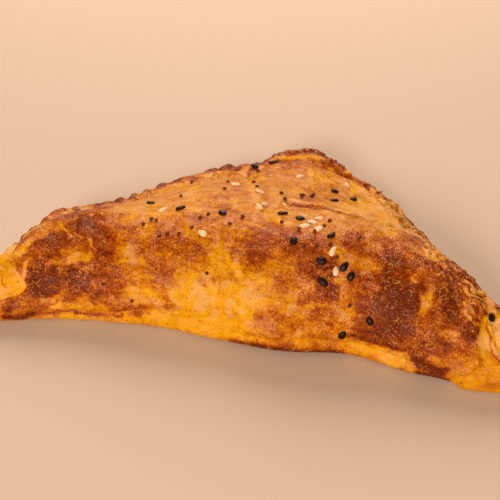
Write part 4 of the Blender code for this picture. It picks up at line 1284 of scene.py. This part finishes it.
def mottled_finish(name, shade, second, roughness, pattern, depth):
    """A small thing's skin: its own colour, mottled towards a second one, over a fine pitted surface."""
    material = bpy.data.materials.new(name)
    material.use_nodes = True
    tree = material.node_tree
    shader = tree.nodes["Principled BSDF"]
    place = add(tree, "ShaderNodeTexCoord").outputs["Object"]
    mottle = add(tree, "ShaderNodeTexNoise", {"Vector": place, "Scale": 1 / pattern, "Detail": 3.0})
    share = add(tree, "ShaderNodeMapRange", {
        "Value": mottle.outputs[0], "From Min": 0.35, "From Max": 0.65, "To Min": 0.0, "To Max": 1.0,
    })
    tinted = add(tree, "ShaderNodeMix", {
        "Factor": share.outputs[0], "A": shade, "B": second,
    }, data_type="RGBA")
    tree.links.new(tinted.outputs["Result"], shader.inputs["Base Color"])
    bump = add(tree, "ShaderNodeBump", {"Strength": 1.0, "Distance": depth, "Height": mottle.outputs[0]})
    tree.links.new(bump.outputs[0], shader.inputs["Normal"])
    shader.inputs["Roughness"].default_value = roughness
    shader.inputs["Specular IOR Level"].default_value = 0.25
    return material


def flake_points(tree, settings):
    """Points for the loose flakes, which lie along the right back rim and the blunt corner, the more the
    nearer to the rim, each turned roughly along that edge and tipped a little."""
    draw = random.Random(FLAKE_DRAW)
    edge_turn = math.atan2(EDGE_DIRECTION[1], EDGE_DIRECTION[0])
    spots = []
    while len(spots) < settings.flake_count:
        x = draw.uniform(*FLAKE_SPAN) * MM
        inset = abs(draw.gauss(0, 1)) * FLAKE_BAND
        y = back_edge(x) - RIM_ROUNDING * 0.5 - inset
        place, normal, _, _ = tree.ray_cast(Vector((x, float(y), 1)), Vector((0, 0, -1)))
        if place is not None:
            spots.append((place, normal, edge_turn + draw.gauss(0, 0.5)))
    places = []
    for place, normal, turn in spots:
        here = lying_on(place, normal, turn, -FLAKE_SUNK) @ Matrix.Rotation(draw.gauss(0.1, 0.15), 4, "X")
        size = draw.uniform(0.4, 1.0)
        places.append((here, (size * draw.uniform(0.8, 1.3), size, 1.0)))
    return turned_points("pastry_flakes", places)


def flake_tree(material):
    """Geometry Nodes: one thin curled flake with a ragged outline on every point."""
    tree = new_tree("flakes", ("Length", "Thickness"))
    given = add(tree, "NodeGroupInput").outputs
    wide = add(tree, "ShaderNodeMath", {0: given["Length"], 1: 0.55}, operation="MULTIPLY")
    size = add(tree, "ShaderNodeCombineXYZ", {
        "X": given["Length"], "Y": wide.outputs[0], "Z": given["Thickness"],
    })
    slab = add(tree, "GeometryNodeMeshCube", {
        "Size": size.outputs[0], "Vertices X": 6, "Vertices Y": 4, "Vertices Z": 2,
    })
    real = scattered(tree, given["Geometry"], slab.outputs["Mesh"])
    spot = add(tree, "GeometryNodeInputPosition").outputs[0]
    scale = add(tree, "ShaderNodeMath", {0: 1.3, 1: given["Length"]}, operation="DIVIDE")
    wave = add(tree, "ShaderNodeTexNoise", {"Vector": spot, "Scale": scale.outputs[0], "Detail": 1.0})
    centred = add(tree, "ShaderNodeVectorMath", {0: wave.outputs["Color"], 1: (0.5, 0.5, 0.5)},
                  operation="SUBTRACT")
    reach = add(tree, "ShaderNodeMath", {0: given["Length"], 1: 0.9}, operation="MULTIPLY")
    offset = add(tree, "ShaderNodeVectorMath", {0: centred.outputs[0], "Scale": reach.outputs[0]},
                 operation="SCALE")
    curled = add(tree, "GeometryNodeSetPosition", {"Geometry": real, "Offset": offset.outputs[0]})
    finish_tree(tree, curled.outputs[0], material)
    return tree


class EMPANADA_OT_crust(bpy.types.Operator):
    """Builds the crust with its layers, blisters and baked colours"""

    bl_idname = "empanada.crust"
    bl_label = "Crust"

    def execute(self, context):
        settings = context.scene.empanada_crust
        crust = new_object("crust", crust_mesh(settings))
        material = crust_finish(settings)
        plain_mesh(crust, skin_relief(material), {
            "Blister size": settings.blister_size, "Blister height": settings.blister_height,
            "Grain size": settings.grain_size, "Grain height": settings.grain_height,
        })
        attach(crust, "root")
        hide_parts("empanada")
        return {"FINISHED"}


class EMPANADA_OT_seeds(bpy.types.Operator):
    """Lays the black sesame, the white sesame and the poppy seeds on the crust"""

    bl_idname = "empanada.seeds"
    bl_label = "Seeds"

    def execute(self, context):
        settings = context.scene.empanada_seeds
        tree = BVHTree.FromObject(bpy.data.objects["crust"], context.evaluated_depsgraph_get())
        black, white, poppies = seed_places(tree)
        draw = random.Random(SEED_DRAW + 1)
        sesame = {
            "Length": settings.sesame_length, "Width": settings.sesame_width,
            "Thickness": settings.sesame_thickness, "Taper": SESAME_TAPER,
            "Lift": (0.5 - SESAME_SUNK) * settings.sesame_thickness,
            "Unevenness": SESAME_SKIN[0], "Pattern": SESAME_SKIN[1],
        }
        poppy = {
            "Length": settings.poppy_size, "Width": POPPY_ROUND * settings.poppy_size,
            "Thickness": POPPY_ROUND * settings.poppy_size, "Taper": POPPY_TAPER,
            "Lift": (0.5 - POPPY_SUNK) * settings.poppy_size,
            "Unevenness": POPPY_SKIN[0], "Pattern": POPPY_SKIN[1],
        }
        short_black = {**sesame, "Length": BLACK_SHORTER * settings.sesame_length}
        slim_white = {
            **sesame, "Width": WHITE_NARROWER * settings.sesame_width,
            "Length": WHITE_SHORTER * settings.sesame_length,
        }
        # Black sesame: a ribbed black hull with a satin gleam
        black_hull = mottled_finish(
            "black_sesame_hull", settings.black, linear(BLACK_SHADE), 0.42, 0.6 * MM, 0.16 * MM)
        # Toasted hulled sesame: cream and waxy, with tan patches
        toasted_seed = mottled_finish(
            "toasted_sesame", settings.white, linear(WHITE_SHADE), 0.45, 1.4 * MM, 0.05 * MM)
        # Poppy: a dull brown skin with a net of pits
        poppy_skin = mottled_finish(
            "poppy_skin", settings.poppy, linear(POPPY_SHADE), 0.6, 0.35 * MM, 0.10 * MM)
        finishes = (
            ("black_sesame", black, short_black, black_hull),
            ("white_sesame", white, slim_white, toasted_seed),
            ("poppy_seeds", poppies, poppy, poppy_skin),
        )
        for name, places, sizes, material in finishes:
            seeds = new_object(name, seed_points(name, places, draw))
            plain_mesh(seeds, seed_tree(material), sizes)
            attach(seeds, "root")
        return {"FINISHED"}


class EMPANADA_OT_flakes(bpy.types.Operator):
    """Strews loose flakes of the top layer over the right back rim and the blunt corner"""

    bl_idname = "empanada.flakes"
    bl_label = "Flakes"

    def execute(self, context):
        settings = context.scene.empanada_flakes
        crust = context.scene.empanada_crust
        tree = BVHTree.FromObject(bpy.data.objects["crust"], context.evaluated_depsgraph_get())
        flakes = new_object("pastry_flakes", flake_points(tree, settings))
        # Dry flakes of the top layer, brown mottled with orange and dull
        material = mottled_finish("loose_flakes", crust.brown, crust.orange, 0.5, 2 * MM, 0.05 * MM)
        plain_mesh(flakes, flake_tree(material), {
            "Length": settings.flake_length, "Thickness": settings.flake_thickness,
        })
        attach(flakes, "root")
        return {"FINISHED"}


def soft_light(name, place, size, power):
    """A round soft light at a place, turned towards the origin."""
    light = bpy.data.lights.new(name, "AREA")
    light.shape = "DISK"
    light.size = size
    light.energy = power
    light.color = linear(LIGHT_TONE)[:3]
    obj = new_object(name, light)
    obj.location = place
    obj.rotation_euler = (-place).to_track_quat("-Z", "Y").to_euler()


class EMPANADA_OT_stage(bpy.types.Operator):
    """Lays a plain pale floor and sets the soft lights and the camera"""

    bl_idname = "empanada.stage"
    bl_label = "Stage"

    def execute(self, context):
        settings = context.scene.empanada_stage
        scene = context.scene
        scene.view_settings.view_transform = "Standard"
        ahead = Vector((-math.sin(CAMERA_TURN), math.cos(CAMERA_TURN), 0))
        right = Vector((math.cos(CAMERA_TURN), math.sin(CAMERA_TURN), 0))

        bm = bmesh.new()
        bmesh.ops.create_grid(bm, x_segments=8, y_segments=8, size=FLOOR_REACH)
        mesh = bpy.data.meshes.new("floor")
        bm.to_mesh(mesh)
        bm.free()
        floor = new_object("floor", mesh)
        # Matt uncoated paper, which gives no gleam
        material = bpy.data.materials.new("matt_paper")
        material.use_nodes = True
        shader = material.node_tree.nodes["Principled BSDF"]
        shader.inputs["Base Color"].default_value = settings.floor
        shader.inputs["Roughness"].default_value = 0.9
        mesh.materials.append(material)

        lights = (
            ("back_light", BACK_LIGHT, settings.back_power),
            ("front_light", FRONT_LIGHT, settings.front_power),
        )
        for name, (depth, side, up, size), power in lights:
            soft_light(name, ahead * depth + right * side + Vector((0, 0, up)), size, power)
        world = bpy.data.worlds.new("room")
        world.use_nodes = True
        background = world.node_tree.nodes["Background"]
        background.inputs["Color"].default_value = linear(ROOM_TONE)
        background.inputs["Strength"].default_value = settings.room_light
        scene.world = world

        camera_data = bpy.data.cameras.new("camera")
        camera_data.lens = CAMERA_LENS
        camera_data.sensor_width = SENSOR_WIDTH
        camera = new_object("camera", camera_data)
        camera.location = CAMERA_PLACE
        look = ahead * math.cos(CAMERA_PITCH) - Vector((0, 0, math.sin(CAMERA_PITCH)))
        camera.rotation_euler = look.to_track_quat("-Z", "Y").to_euler()
        scene.camera = camera
        return {"FINISHED"}


class EMPANADA_PT_panel(bpy.types.Panel):
    """Lists the settings and the operator of each step"""

    bl_idname = "EMPANADA_PT_panel"
    bl_label = "Empanada"
    bl_space_type = "VIEW_3D"
    bl_region_type = "UI"
    bl_category = "Empanada"

    def draw(self, context):
        for operator, group in STEPS:
            box = self.layout.box()
            box.operator(operator.bl_idname)
            for name in group.__annotations__:
                box.prop(getattr(context.scene, SETTINGS[group]), name)


STEPS = (
    (EMPANADA_OT_crust, CrustSettings),
    (EMPANADA_OT_seeds, SeedSettings),
    (EMPANADA_OT_flakes, FlakeSettings),
    (EMPANADA_OT_stage, StageSettings),
)
SETTINGS = {
    CrustSettings: "empanada_crust", SeedSettings: "empanada_seeds", FlakeSettings: "empanada_flakes",
    StageSettings: "empanada_stage",
}


def register():
    """Registers the settings, the operators and the panel."""
    for operator, group in STEPS:
        bpy.utils.register_class(group)
        bpy.utils.register_class(operator)
        setattr(bpy.types.Scene, SETTINGS[group], PointerProperty(type=group))
    bpy.utils.register_class(EMPANADA_PT_panel)


def unregister():
    """Takes back what register gave."""
    bpy.utils.unregister_class(EMPANADA_PT_panel)
    for operator, group in reversed(STEPS):
        delattr(bpy.types.Scene, SETTINGS[group])
        bpy.utils.unregister_class(operator)
        bpy.utils.unregister_class(group)


def main():
    """Builds every piece and the stage."""
    register()
    bpy.ops.empanada.crust()
    bpy.ops.empanada.seeds()
    bpy.ops.empanada.flakes()
    bpy.ops.empanada.stage()
    bpy.context.view_layer.update()


if __name__ == "__main__":
    main()
